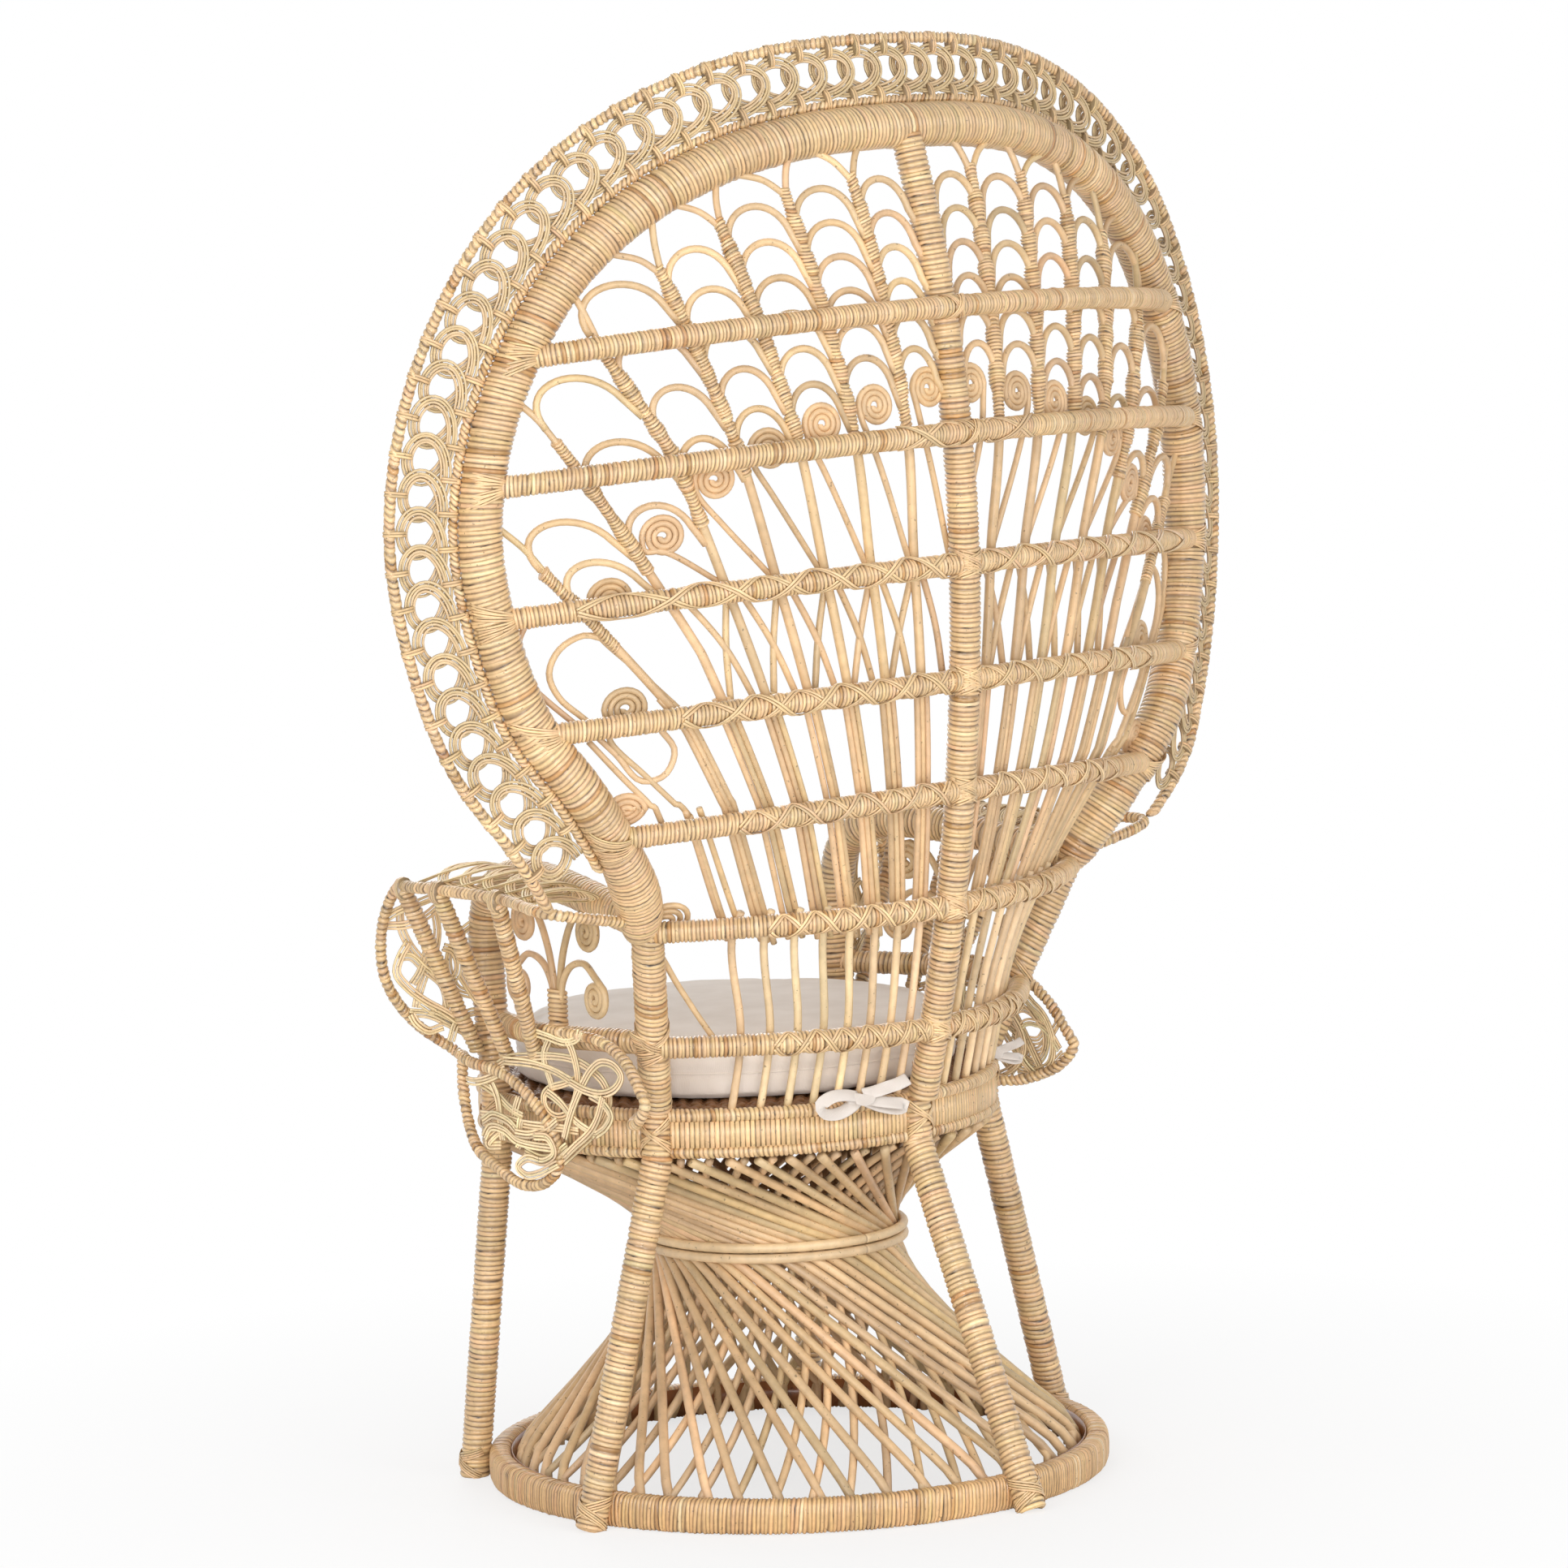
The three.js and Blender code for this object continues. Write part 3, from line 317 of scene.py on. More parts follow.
def tube(piece, points, diameter, colour=BARE, sides=8, first=None, spread=0.07):
    """Bare cane: a rod with slow changes of colour and thickness."""
    points = np.asarray(points, float)
    _, a, b = frames(points, first)
    s = lengths(points)
    radius = diameter / 2 * (1 + SWELL * np.sin(s / SWELL_LENGTH + rng.uniform(0, 6)))
    turn = circle(sides)
    rows = points[:, None] + section(a, b, turn) * radius[:, None, None]
    shade = shades(colour, 1, spread)[0] * (1 + FADE * np.sin(s / FADE_LENGTH + rng.uniform(0, 6)))[:, None]
    streak = 1 + FADE * np.cos(turn * 2 + rng.uniform(0, 6))
    piece.grid(rows, shade[:, None, :] * streak[None, :, None])


# One strip of a wrap: steps across it as shares of its width, and the height of each step
WRAP_PHASES = np.array([0.0, 0.15, 0.32, 0.68, 0.85])
WRAP_HEIGHTS = np.array([-0.9, -0.1, 0.5, 0.5, -0.1])
WRAP_STEPS = len(WRAP_PHASES)
ODD_STRIPS, STRIP_SHIFT, STRIP_HEIGHT, STRIP_LEAN = 0.05, 0.1, 0.2, 0.14


def wrap_shades(count, sides, pitch, colour, spread):
    """Colours of a wound rod: strips, a few pale or dark, and painted shade in the gaps, deepest at a few
    spots.
    """
    strip = shades(colour, count, spread)
    for tone, tone_spread in ((WRAP_PALE, 0.04), (WRAP_DARK, 0.08)):
        odd = rng.random(count) < ODD_STRIPS
        strip[odd] = shades(tone, int(odd.sum()), tone_spread)
    slow = np.sin(np.arange(count) * pitch / WRAP_FADE_LENGTH + rng.uniform(0, 6))
    strip = strip * (1 + FADE * slow)[:, None]
    shade = np.repeat(strip, WRAP_STEPS, axis=0)
    shade = np.vstack([shade, shade[-1:]])[:, None, :] * np.ones((1, sides, 1))
    gaps = np.arange(count) * WRAP_STEPS
    depth = rng.uniform(0.6, 1.0, (count, 1, 1)) * (0.8 + 0.2 * rng.random((count, sides, 1)))
    # Painted shade in each gap between strips, fading into the steps beside it
    for step, part in ((0, 1.0), (1, 0.4), (WRAP_STEPS - 1, 0.4)):
        shade[gaps + step] += (linear(GAP_SHADE) - shade[gaps + step]) * depth * part
    shade[0] = shade[2]
    # A few spots in the gaps painted almost black: deeper painted shade
    spots = max(count // 2, 1)
    deep_gap_row, place = rng.integers(0, count, spots) * WRAP_STEPS, rng.integers(0, sides, spots)
    bold = slice(spots // 2)
    for rows, columns in ((deep_gap_row, place), (deep_gap_row, (place + 1) % sides), (deep_gap_row[bold] + 1, place[bold])):
        shade[rows, columns] = linear(DEEP_GAP_SHADE)
    return shade


def wrapped(piece, points, diameter, width=5.2, sides=16, tilt=0.35, colour=WRAP, first=None, flat=1.0,
            spread=0.055, square=1.0):
    """Rod wound with strips of cane, each a rounded ridge with painted shade in the gap beside it."""
    points = np.asarray(points, float)
    total = lengths(points)[-1]
    count = max(int(round(total / width)), 2)
    pitch = total / count
    turns = np.arange(count)[:, None] + rng.uniform(-STRIP_SHIFT, STRIP_SHIFT, (count, 1))
    at = np.clip(((turns + WRAP_PHASES[None]) * pitch).ravel(), 0, total)
    at = np.append(np.maximum.accumulate(at), total)
    steps = max(count, 8)
    places = np.linspace(0, total, steps + 1)
    tangent, a, b = [unit(read(at, places, v)) for v in frames(even(points, steps), first)]
    radius = np.asarray(diameter, float) / 2
    if radius.ndim:
        radius = np.interp(at, np.linspace(0, total, len(radius)), radius)

    def by_strip(values, end):
        return np.append(np.repeat(values, WRAP_STEPS), end)

    height = np.append(np.tile(WRAP_HEIGHTS, count), WRAP_HEIGHTS[0])
    height = height + by_strip(rng.normal(0, STRIP_HEIGHT, count), 0)
    turn = circle(sides)
    c, s = [np.sign(w) * np.abs(w) ** square for w in (np.cos(turn), np.sin(turn))]
    ring = a[:, None] * c[None, :, None] * flat + b[:, None] * s[None, :, None]
    rows = along(points, at)[:, None] + ring * (radius + height)[:, None, None]
    lean = by_strip(rng.normal(tilt, STRIP_LEAN, count), tilt) * pitch
    rows = rows + tangent[:, None] * (lean[:, None] * np.cos(turn + rng.uniform(0, 6.28))[None])[..., None]
    piece.grid(rows, wrap_shades(count, sides, pitch, colour, spread))


STRAND_SIDES, WANDER, WANDER_LENGTH, STRAND_RISE = 8, 0.35, 19, 0.25
# Painted shade on both edges of each strand, where strands meet
STRAND_EDGE_SHADE = np.array([0.26, 0.18, 0.1])


def ribbon(piece, points, strands, strand, facing, colour=LACE, gap=0.35, thick=0.9, spread=0.06):
    """Flat ribbon of strands laid side by side; facing is the ribbon's own normal at each point."""
    points = np.asarray(points, float)
    tangent = unit(np.gradient(points, axis=0))
    across = unit(np.cross(tangent, np.broadcast_to(facing, points.shape)))
    normal = np.cross(across, tangent)
    ring = section(across, normal * thick, circle(STRAND_SIDES))
    s = lengths(points)
    for i in range(strands):
        wander = WANDER * np.sin(s / WANDER_LENGTH + rng.uniform(0, 6))
        offset = (i - (strands - 1) / 2) * (strand + gap) + wander * (strands > 2)
        line = points + across * offset[:, None] + normal * rng.normal(0, STRAND_RISE)
        shade = np.tile(shades(colour, 1, spread), (STRAND_SIDES, 1))
        # Both edges of the strand painted darker: painted shade between strands
        shade[::STRAND_SIDES // 2] *= STRAND_EDGE_SHADE
        piece.grid(line[:, None] + ring * strand / 2, shade)


# Bindings: steps across one strip of a band, how far strips stand off a rod and rise where they cross,
# and where the strips that part round a rod start and end
BAND_STEPS, BAND_DIP_SHADE = ((0.04, -0.4), (0.25, 0.3), (0.75, 0.3), (0.96, -0.4)), 0.4
STRIP_LIFT, LASH_LIFT, CROSS_RISE, CROSS_LENGTH = 1.1, 1.0, 1.2, 0.35
PART_FROM, PART_TO, PART_STEPS, PART_WIDTH, PART_PITCH, RUN_IN, RUN_IN_PITCH = 35, 150, 9, 0.6, 6.5, 12, 7


def binding(piece, line, facing, strands=2, strand=2.6):
    """Thin strips of cane side by side, as in the bindings."""
    ribbon(piece, line, strands, strand, facing, WRAP, gap=0.1, thick=0.6, spread=0.1)


def arc(angle, first, second):
    """Directions at angles from one direction toward another."""
    return np.outer(np.cos(angle), first) + np.outer(np.sin(angle), second)


def band(piece, centre, axis, along_dir, reach, girth, width, turns=2):
    """Tie of a few cane strips round an oval section: reach along along_dir, girth across it."""
    axis = unit(np.asarray(axis, float))
    u = np.asarray(along_dir, float)
    u = unit(u - axis * np.dot(u, axis))
    turn = circle(12)
    oval = np.outer(np.cos(turn) * reach, u) + np.outer(np.sin(turn) * girth, np.cross(axis, u))
    rows, shade = [], []
    for k in range(turns):
        tint = shades(WRAP, 1, 0.1)
        for phase, height in BAND_STEPS:
            offset = (k + phase) * width / turns - width / 2
            rows.append(np.asarray(centre) + axis * offset + oval + unit(oval) * height)
            # Where a strip dips, painted darker: painted shade between the turns of a band
            shade.append(tint * (BAND_DIP_SHADE if height < 0 else 1))
    piece.grid(np.array(rows), np.array(shade))


def lash(piece, centre, axis, outward, radius, reach, strands=2, sweep=110):
    """Crossed strips over a rod, an X seen from outward."""
    axis = unit(np.asarray(axis, float))
    outward = unit(outward - axis * np.dot(outward, axis))
    t = np.linspace(-1, 1, 13)
    angle = np.radians(sweep) * t
    ring = arc(angle, outward, np.cross(axis, outward))
    for order, lean in enumerate(SIDES):
        r = radius + LASH_LIFT + CROSS_RISE * order * np.exp(-(t / CROSS_LENGTH) ** 2)
        line = np.asarray(centre) + ring * r[:, None] + axis[None] * (lean * reach * t)[:, None]
        binding(piece, line, ring, strands, 2.4)


def parted(piece, centre, axis, inward, outward, thick, strips=3):
    """Strips that come off a bar and part round a thicker rod where the two meet."""
    axis, inward = unit(axis), unit(inward)
    outward = unit(outward - inward * np.dot(outward, inward))
    thin = BAR_DIAMETER / 2
    turn = np.radians(np.linspace(PART_FROM, PART_TO, PART_STEPS))
    ring = arc(turn, inward, outward)
    for way in SIDES:
        for k in range(strips):
            spread = way * np.linspace(0.2, 1, PART_STEPS) * (thin * PART_WIDTH + PART_PITCH * k)
            around = centre + ring * (thick + STRIP_LIFT) + axis[None] * spread[:, None]
            run_in = inward * (thick + RUN_IN + RUN_IN_PITCH * k)
            start = centre + run_in + outward * (thin + 0.9) + axis * way
            line = smooth(np.vstack([start, around]), 18)
            radial = line - centre
            radial = unit(radial - axis[None] * (radial @ axis)[:, None])
            binding(piece, line, outward + 0.6 * radial)


# Materials

class Shader:
    """Short forms for the shader nodes used here."""

    def __init__(self, owner):
        owner.use_nodes = True
        self.nodes = owner.node_tree.nodes
        self.links = owner.node_tree.links

    def fit(self, node, values=(), wires=()):
        """Sets and wires a node's inputs."""
        for socket, value in dict(values).items():
            node.inputs[socket].default_value = value
        for socket, wire in dict(wires).items():
            self.links.new(wire, node.inputs[socket])
        return node

    def node(self, kind, values=(), wires=(), **settings):
        node = self.nodes.new("ShaderNode" + kind)
        for setting, value in settings.items():
            setattr(node, setting, value)
        return self.fit(node, values, wires)

    def place(self):
        return self.node("TexCoord").outputs["Object"]

    def noise(self, place, scale, detail):
        return self.node("TexNoise", {"Scale": scale, "Detail": detail}, {"Vector": place}).outputs["Fac"]

    def mapped(self, value, low, high, to_low, to_high):
        """Value brought from one range to another."""
        ranges = {"From Min": low, "From Max": high, "To Min": to_low, "To Max": to_high}
        return self.node("MapRange", ranges, {"Value": value}).outputs["Result"]

    def joined(self, operation, first, second):
        return self.node("Math", (), {0: first, 1: second}, operation=operation).outputs[0]

    def surface(self, values, wires=()):
        return self.fit(self.nodes["Principled BSDF"], values, wires)

    def relief(self, height, strength):
        bump = self.node("Bump", {"Strength": strength, "Distance": 0.6 * MM}, {"Height": height})
        return bump.outputs["Normal"]


def cane_material(name, roughness, grain, bump, coat):
    """Cane: the vertex tint, broken by fine streaks and small dark flecks."""
    material = bpy.data.materials.new(name)
    tree = Shader(material)
    place = tree.place()
    streak = tree.noise(place, grain, 4)
    fine = tree.mapped(streak, 0.25, 0.75, 0.86, 1.12)
    broad = tree.mapped(tree.noise(place, 14, 2), 0.3, 0.7, 0.93, 1.06)
    fleck = tree.mapped(tree.noise(place, 260, 1), 0.7, 0.76, 1, 0.5)
    level = tree.joined("MULTIPLY", tree.joined("MULTIPLY", fine, broad), fleck)
    tint = tree.node("VertexColor", layer_name="tint").outputs["Color"]
    colour = tree.node("VectorMath", (), {0: tint, "Scale": level}, operation="SCALE").outputs[0]
    rough = tree.mapped(streak, 0.3, 0.7, roughness - 0.06, roughness + 0.08)
    tree.surface({"Coat Weight": coat, "Coat Roughness": 0.2},
                 {"Base Color": colour, "Normal": tree.relief(streak, bump), "Roughness": rough})
    return material


def cotton_material(name, dull, bright):
    """Plain woven cotton: crossed fine threads over a soft pale cloth."""
    material = bpy.data.materials.new(name)
    tree = Shader(material)
    place = tree.place()
    ramp = tree.node("ValToRGB", (), {"Fac": tree.noise(place, 18, 5)})
    for element, position, colour in zip(ramp.color_ramp.elements, (0.3, 0.7), (dull, bright)):
        element.position = position
        element.color = (*linear(colour), 1)
    threads = [tree.node("TexWave", {"Scale": 220, "Distortion": 1.5}, {"Vector": place},
                         bands_direction=direction).outputs["Fac"] for direction in ("X", "Y")]
    tree.surface({"Roughness": 0.9, "Sheen Weight": 0.25, "Sheen Roughness": 0.5},
                 {"Base Color": ramp.outputs["Color"],
                  "Normal": tree.relief(tree.joined("MAXIMUM", *threads), 0.25)})
    return material


CANE = cane_material("wrapped_cane", 0.34, 160, 0.25, 0.5)
STICK = cane_material("bare_cane", 0.42, 90, 0.2, 0.12)
STRAW = cane_material("lace_cane", 0.45, 140, 0.25, 0.1)
CLOTH = cotton_material("pad_cotton", COTTON_SHADE, COTTON)
# Tapes get a darker copy of the pad's cotton: painted shade on the bows
SHADED_TAPE_CLOTH = cotton_material("tape_cotton", TAPE_SHADED_DULL, TAPE_SHADED)

# Hoop of the back, which swells above its feet and narrows into the posts
HOOP_STEPS, SWELL_AT, SWELL_WIDTH, TAPER_AT, TAPER_WIDTH = 600, 0.95, 0.03, 0.975, 0.025
FOOT_SWELL, FOOT_TAPER = 4, 12
half = dish(*np.array(HOOP_OUTLINE).T)
hoop_line = smooth(np.vstack([on_side(half[1:], -1)[::-1], half]), HOOP_STEPS)
share = np.abs(np.linspace(-1, 1, 121))
swelling = FOOT_SWELL * np.exp(-((share - SWELL_AT) / SWELL_WIDTH) ** 2)
tapering = FOOT_TAPER * np.clip((share - TAPER_AT) / TAPER_WIDTH, 0, 1) ** 2
hoop = Piece("back_hoop")
wrapped(hoop, hoop_line, HOOP_DIAMETER + (swelling - tapering), width=4.9, sides=20, first=-BACK, tilt=0.5)
hoop.make(CANE, "main_hoop")


def border_frames(points):
    """Directions away from the hoop and square to the border at each point of the hoop."""
    x, z = points[:, 0], points[:, 2]
    across = np.stack([np.ones_like(x), -x / BORDER_RADIUS, np.zeros_like(x)], axis=1)
    upward = np.stack([np.zeros_like(z), spine_back(z + 0.5) - spine_back(z - 0.5), np.ones_like(z)], axis=1)
    normal = unit(np.cross(across, upward))
    outward = unit(np.cross(normal, unit(np.gradient(points, axis=0))))
    inward = (outward * np.stack([x, 0 * x, z - CREST_Z], axis=1)).sum(axis=1) < 0
    outward[inward] *= -1
    return outward, normal


hoop_out, hoop_normal = border_frames(hoop_line)
hoop_index = np.arange(len(hoop_line))


def beside(index, out, lift=0.0):
    """Points beside the hoop and the normals there; places count the hoop line's own points."""
    middle, outward, normal = [read(index, hoop_index, v) for v in (hoop_line, hoop_out, hoop_normal)]
    outward, normal = unit(outward), unit(normal)
    aside = outward * np.asarray(out, float)[..., None] + normal * np.asarray(lift, float)[..., None]
    return middle + aside, normal


# Border: two rods, and a ribbon that runs along the inner one and throws a loop out to the rim at each step
LACE_PITCH, LACE_SWING, LACE_STEPS, LACE_LIFT = 36, 29, 30, 3.8
places = np.linspace(BORDER_STOP, 1 - BORDER_STOP, 560) * hoop_index[-1]
inner_out = HOOP_DIAMETER / 2 + INNER_ROD / 2 + 0.3
inner_line = beside(places, inner_out + 0 * places)[0]
outer_line = beside(places, BORDER_WIDTH + 0 * places)[0]
rims = Piece("border_rims")
wrapped(rims, inner_line, INNER_ROD, width=5.5, sides=10, tilt=0.6)
wrapped(rims, outer_line, OUTER_ROD, width=6.5, sides=10, tilt=0.6, spread=0.1)
lace = Piece("border_lace")
inner_edge, outer_edge = inner_out + INNER_ROD / 2 + 6.4, BORDER_WIDTH - OUTER_ROD / 2 - 7
mid_out, reach = (inner_edge + outer_edge) / 2, (outer_edge - inner_edge) / 2
mid_s = lengths(beside(places, mid_out + 0 * places)[0])
rings = int((mid_s[-1] - 2 * LACE_SWING) / LACE_PITCH)
pitch = (mid_s[-1] - 2 * LACE_SWING) / rings
steps = np.arange(rings * LACE_STEPS + 1) / LACE_STEPS
turn = 2 * np.pi * steps
s_at = LACE_SWING + pitch * steps + LACE_SWING * np.sin(turn)
coil, coil_normal = beside(np.interp(s_at, mid_s, places), mid_out - reach * np.cos(turn),
                           LACE_LIFT * np.sin(turn))
ribbon(lace, coil, 4, 2.9, coil_normal, gap=0.15)
TIES = ((0, inner_out - INNER_ROD / 2 - 1, inner_edge + 5, 6.2),
        (0.5, outer_edge - 5, BORDER_WIDTH + OUTER_ROD / 2 + 1, 7))
for k in range(rings):
    for step, low, high, girth in TIES:
        index = np.interp(LACE_SWING + pitch * (k + step) + rng.normal(0, 1), mid_s, places)
        middle = (low + high) / 2
        near, _ = beside([index, index, index - 1.5, index + 1.5], [middle, high, middle, middle])
        band(lace, near[0], near[3] - near[2], near[1] - near[0], (high - low) / 2, girth, 6)
rims.make(CANE, "inner_rim", "outer_rim")
lace.make(STRAW, "lace_border")

# Spine, posts and bars
hoop_foot_x, hoop_foot_z = HOOP_OUTLINE[-1]
spine = Piece("back_spine")
spine_z = np.linspace(SEAT_Z + 5, SPINE_TOP, 80)
spine_line = lifted(0 * spine_z, spine_z, -SPINE_SET_BACK + 0 * spine_z)
wrapped(spine, spine_line, SPINE_DIAMETER, width=5.0, first=(1, 0, 0), tilt=0.3)
posts = Piece("back_posts")
hoop_end = dish(hoop_foot_x, hoop_foot_z + HEAD_OVERLAP)
post_foot = seat_point(POST_ANGLE, SEAT_RADIUS, SEAT_Z + 4)
for side in SIDES:
    post_line = on_side(np.linspace(hoop_end, post_foot, 30), side)
    wrapped(posts, post_line, POST_DIAMETER, width=5.4, first=BACK, tilt=0.4)
posts.make(CANE, "left_post", "right_post")


def half_width(z):
    rows = np.vstack([[post_foot[0], SEAT_Z], np.array(HOOP_OUTLINE[::-1], float)])
    return np.interp(z, rows[:, 1], rows[:, 0])


BAR_GAP, BEND_START, BEND_END, END_LIFT = 1.6, 62, 14, -8


def bar_line(index, share):
    """Points along a bar, whose ends bend into the hoop, and the surface normal toward the back at each."""
    share = np.asarray(share, float)
    z = BAR_Z[index] - BAR_DROOP[index] * share ** 2
    width = half_width(BAR_Z[index] - BAR_DROOP[index])
    x = width * share
    lift = rib_lift(z) - (RIB_DIAMETER + BAR_DIAMETER) / 2 - BAR_GAP
    bend = np.clip((BEND_START - width * (1 - np.abs(share))) / (BEND_START - BEND_END), 0, 1)
    lift = lift + (END_LIFT - lift) * bend ** 2 * (lift < END_LIFT)
    return lifted(x, z, lift), -dish_normal(x, z)


LACED = [0, 1.5, 7, 7, 7, 7, 7]
FIRST_POST_BAR, SUNK_END, LACED_END, LACING_SWEEP = 5, 10, 0.06, 82
ZIGZAG, ZIGZAG_PEAK, STRIP_CROSSING = 0.98, 1.37, 0.5
rib_numbers = np.arange(RIBS + 2)
bars = Piece("back_bars")


def lace_bar(i, outer):
    """Strips laced along a bar, which cross over each rib."""
    share = np.linspace(-outer, outer, 321)
    line, back = bar_line(i, share)
    number = np.interp(np.abs(line[:, 0]), rib_x(rib_numbers, BAR_Z[i]), rib_numbers)
    upward = unit(np.cross(back, np.gradient(line, axis=0)))
    for way in SIDES:
        turn = way * np.radians(LACING_SWEEP) * np.arcsin(ZIGZAG * np.sin(np.pi * number)) / ZIGZAG_PEAK
        out = back * np.cos(turn)[:, None] + upward * np.sin(turn)[:, None]
        path = line + out * (BAR_DIAMETER / 2 + STRIP_LIFT + STRIP_CROSSING * way)
        for side in SIDES:
            clear = (line[:, 0] * side > SPINE_DIAMETER / 2 + 1) & (np.abs(share) < outer - LACED_END)
            keep = (number < LACED[i]) & clear
            if keep.sum() > 4:
                ribbon(bars, path[keep], 2, 3.1, out[keep], LACING, gap=0.05, thick=0.5, spread=0.08)


def bind_bar(i, thick):
    """Bar's ends bound to the hoop or post, and its middle to the spine."""
    crossing = lifted(0.0, BAR_Z[i], -SPINE_SET_BACK)
    for side in SIDES:
        end, back = bar_line(i, np.array([0.97, 1]) * side)
        stem_z = BAR_Z[i] - BAR_DROOP[i] + np.array([-8, 8])
        stem = dish(half_width(stem_z) * side, stem_z)
        if i != FIRST_POST_BAR:
            parted(bars, stem.mean(axis=0), stem[1] - stem[0], end[0] - end[1], back[1], thick)
        if i >= COLLARED_BAR:
            parted(spine, crossing, UP, np.array([side, 0, 0.0]), BACK, SPINE_DIAMETER / 2, strips=2)
    if i < COLLARED_BAR:
        lash(bars, bar_line(i, [0.0])[0][0], (1, 0, 0), BACK, BAR_DIAMETER / 2, 14, strands=3)
    else:
        lash(spine, crossing, UP, BACK, SPINE_DIAMETER / 2, 13, strands=3, sweep=85)


for i in range(len(BAR_Z)):
    width = half_width(BAR_Z[i] - BAR_DROOP[i])
    thick = HOOP_DIAMETER / 2 if i < FIRST_POST_BAR else POST_DIAMETER / 2
    outer = 1 - (thick - SUNK_END) / width
    inner = (SPINE_DIAMETER / 2 - 3) / width
    stretches = [(-outer, outer)] if i < COLLARED_BAR else [(-outer, -inner), (inner, outer)]
    for low, high in stretches:
        line, _ = bar_line(i, np.linspace(low, high, 90))
        wrapped(bars, line, BAR_DIAMETER, width=4.2, first=BACK, tilt=0.3)
    lace_bar(i, outer)
    bind_bar(i, thick)
spine.make(CANE, "spine")
bars.make(CANE, *["crossbar_%d" % (i + 1) for i in range(len(BAR_Z))])

# Fan: wrapped stems that fork, arches from rib to rib, curls, and bare canes below
fan = Piece("fan_canes")
stems = Piece("fan_stems")
STEM_TOPS = [1363, 1353, 1325, 1283, 1207, 1118, 991]
STEM_FEET = [1098, 1100, 1100, 1075, 1029, 985, 910]
STEM_DIAMETER, STEM_KNOT = 11, 5
INNER_FORKS = [(-28, 35), (-21, 37), (-6, 35), (-3, 43), (23, 72), (36, 47), (35, 44)]
OUTER_FORKS = [(43, 25), (47, 15), (42, 17), (38, 13)]
CURLS = [(30, 1146), (100, 1133), (164, 1119), (225, 1098), (283, 1072), (335, 1019), (385, 959), (372, 849),
         (368, 742), (284, 614)]
CURL_RADIUS, CURL_EYE, CURL_TURNS, CURL_STEPS, CURL_DIAMETER = 20.5, 3, 3, 72, 6.4
ARCH_DIAMETER, STICK_DIAMETER, THIN_DIAMETER, LOOP_DIAMETER, KNOT_LENGTH = 7.6, 9.8, 7, 6.6, 10
BUNDLE_OFFSETS, BUNDLE_DIAMETER, LOW_DIAMETER, SLANT_MID_Z = (-6.5, 0, 6.5), 6.5, 8.2, 905
LAST_TAIL = [(210, 484), (250, 545), (282, 588)]
SIDE_LOOPS = [[(392, 920), (410, 925), (432, 913), (442, 889), (433, 864), (411, 842), (393, 824)],
              [(460, 943), (468, 923), (467, 903), (461, 882), (447, 865), (425, 843), (405, 824)],
              [(398, 822), (380, 803), (356, 775), (333, 779), (324, 803), (338, 825), (346, 838)],
              [(406, 818), (380, 787), (364, 769), (348, 752), (328, 724)]]


def cane(points, side, lift=0.0, diameter=CURL_DIAMETER, colour=BARE):
    """Bare cane through (x, z) places on the fan."""
    x, z = np.asarray(points, float).T
    tube(fan, lifted(side * x, z, rib_lift(z) + lift), diameter, colour, first=BACK)


def slanting(places, side, lift):
    """Bare cane through places given as rib number and height."""
    number, z = np.array(places, float).T
    cane(smooth(np.stack([rib_x(number, z), z], axis=1), 14), side, lift, THIN_DIAMETER)


def arch(j, tier, side):
    """Arch from a rib to the next one in, where its foot sinks into that rib."""
    neighbour = STICK_DIAMETER if j > 1 else SPINE_DIAMETER
    landing = j - 1 + (neighbour + ARCH_DIAMETER) / 2 / (RIB_SPREAD * tier)
    bow = [(j, tier - 4), (j, tier + 45), (landing + 0.08, tier + 50), (landing, tier + 2)]
    sunk = [(0.3 * (j - 1) + 0.7 * landing, tier - 9), (0.6 * (j - 1) + 0.4 * landing, tier - 20)]
    bow, sunk = [[rib_at(b, rib_z(b, d), side) for b, d in spots] for spots in (bow, sunk)]
    tube(fan, np.vstack([bezier(*bow, 18), sunk]), ARCH_DIAMETER, first=BACK)


def rib(j, side):
    """Stem with its arches and forks, and the main cane under it."""
    top, foot = STEM_TOPS[j - 1], STEM_FEET[j - 1]
    tiers = ARCH_TOPS[j - 1] - ARCH_PITCHES[j - 1] * np.arange(ARCH_COUNTS[j - 1])
    knots = [rib_z(j, tier) for tier in tiers]
    if j < RIBS:
        knots += [rib_z(j, ARCH_TOPS[j] - ARCH_PITCHES[j] * k + 4) for k in range(ARCH_COUNTS[j])]
    at = np.linspace(foot, top, 160)
    knotted = sum(np.exp(-((at - knot) / KNOT_LENGTH) ** 2) for knot in knots)
    girth = STEM_DIAMETER + STEM_KNOT * np.clip(knotted, 0, 1)
    line = rib_at(j, np.linspace(foot, top, 60), side)
    wrapped(stems, line, girth, width=3.7, sides=12, tilt=0.5, spread=0.08)
    for tier in tiers:
        arch(j, tier, side)
    crown, root = [np.array([rib_x(j, z), z]) for z in (top, top - 8)]
    for fork in (INNER_FORKS + OUTER_FORKS)[j - 1::RIBS]:
        tip = crown + fork
        bend = crown + np.array([0.42, 0.52]) * fork
        cane(smooth([root, bend, tip, tip + 0.35 * (tip - bend)], 12), side, diameter=THIN_DIAMETER)
    tube(fan, rib_at(j, np.linspace(BAR_Z[3] - 8, foot + 8, 30), side), STICK_DIAMETER, first=BACK)


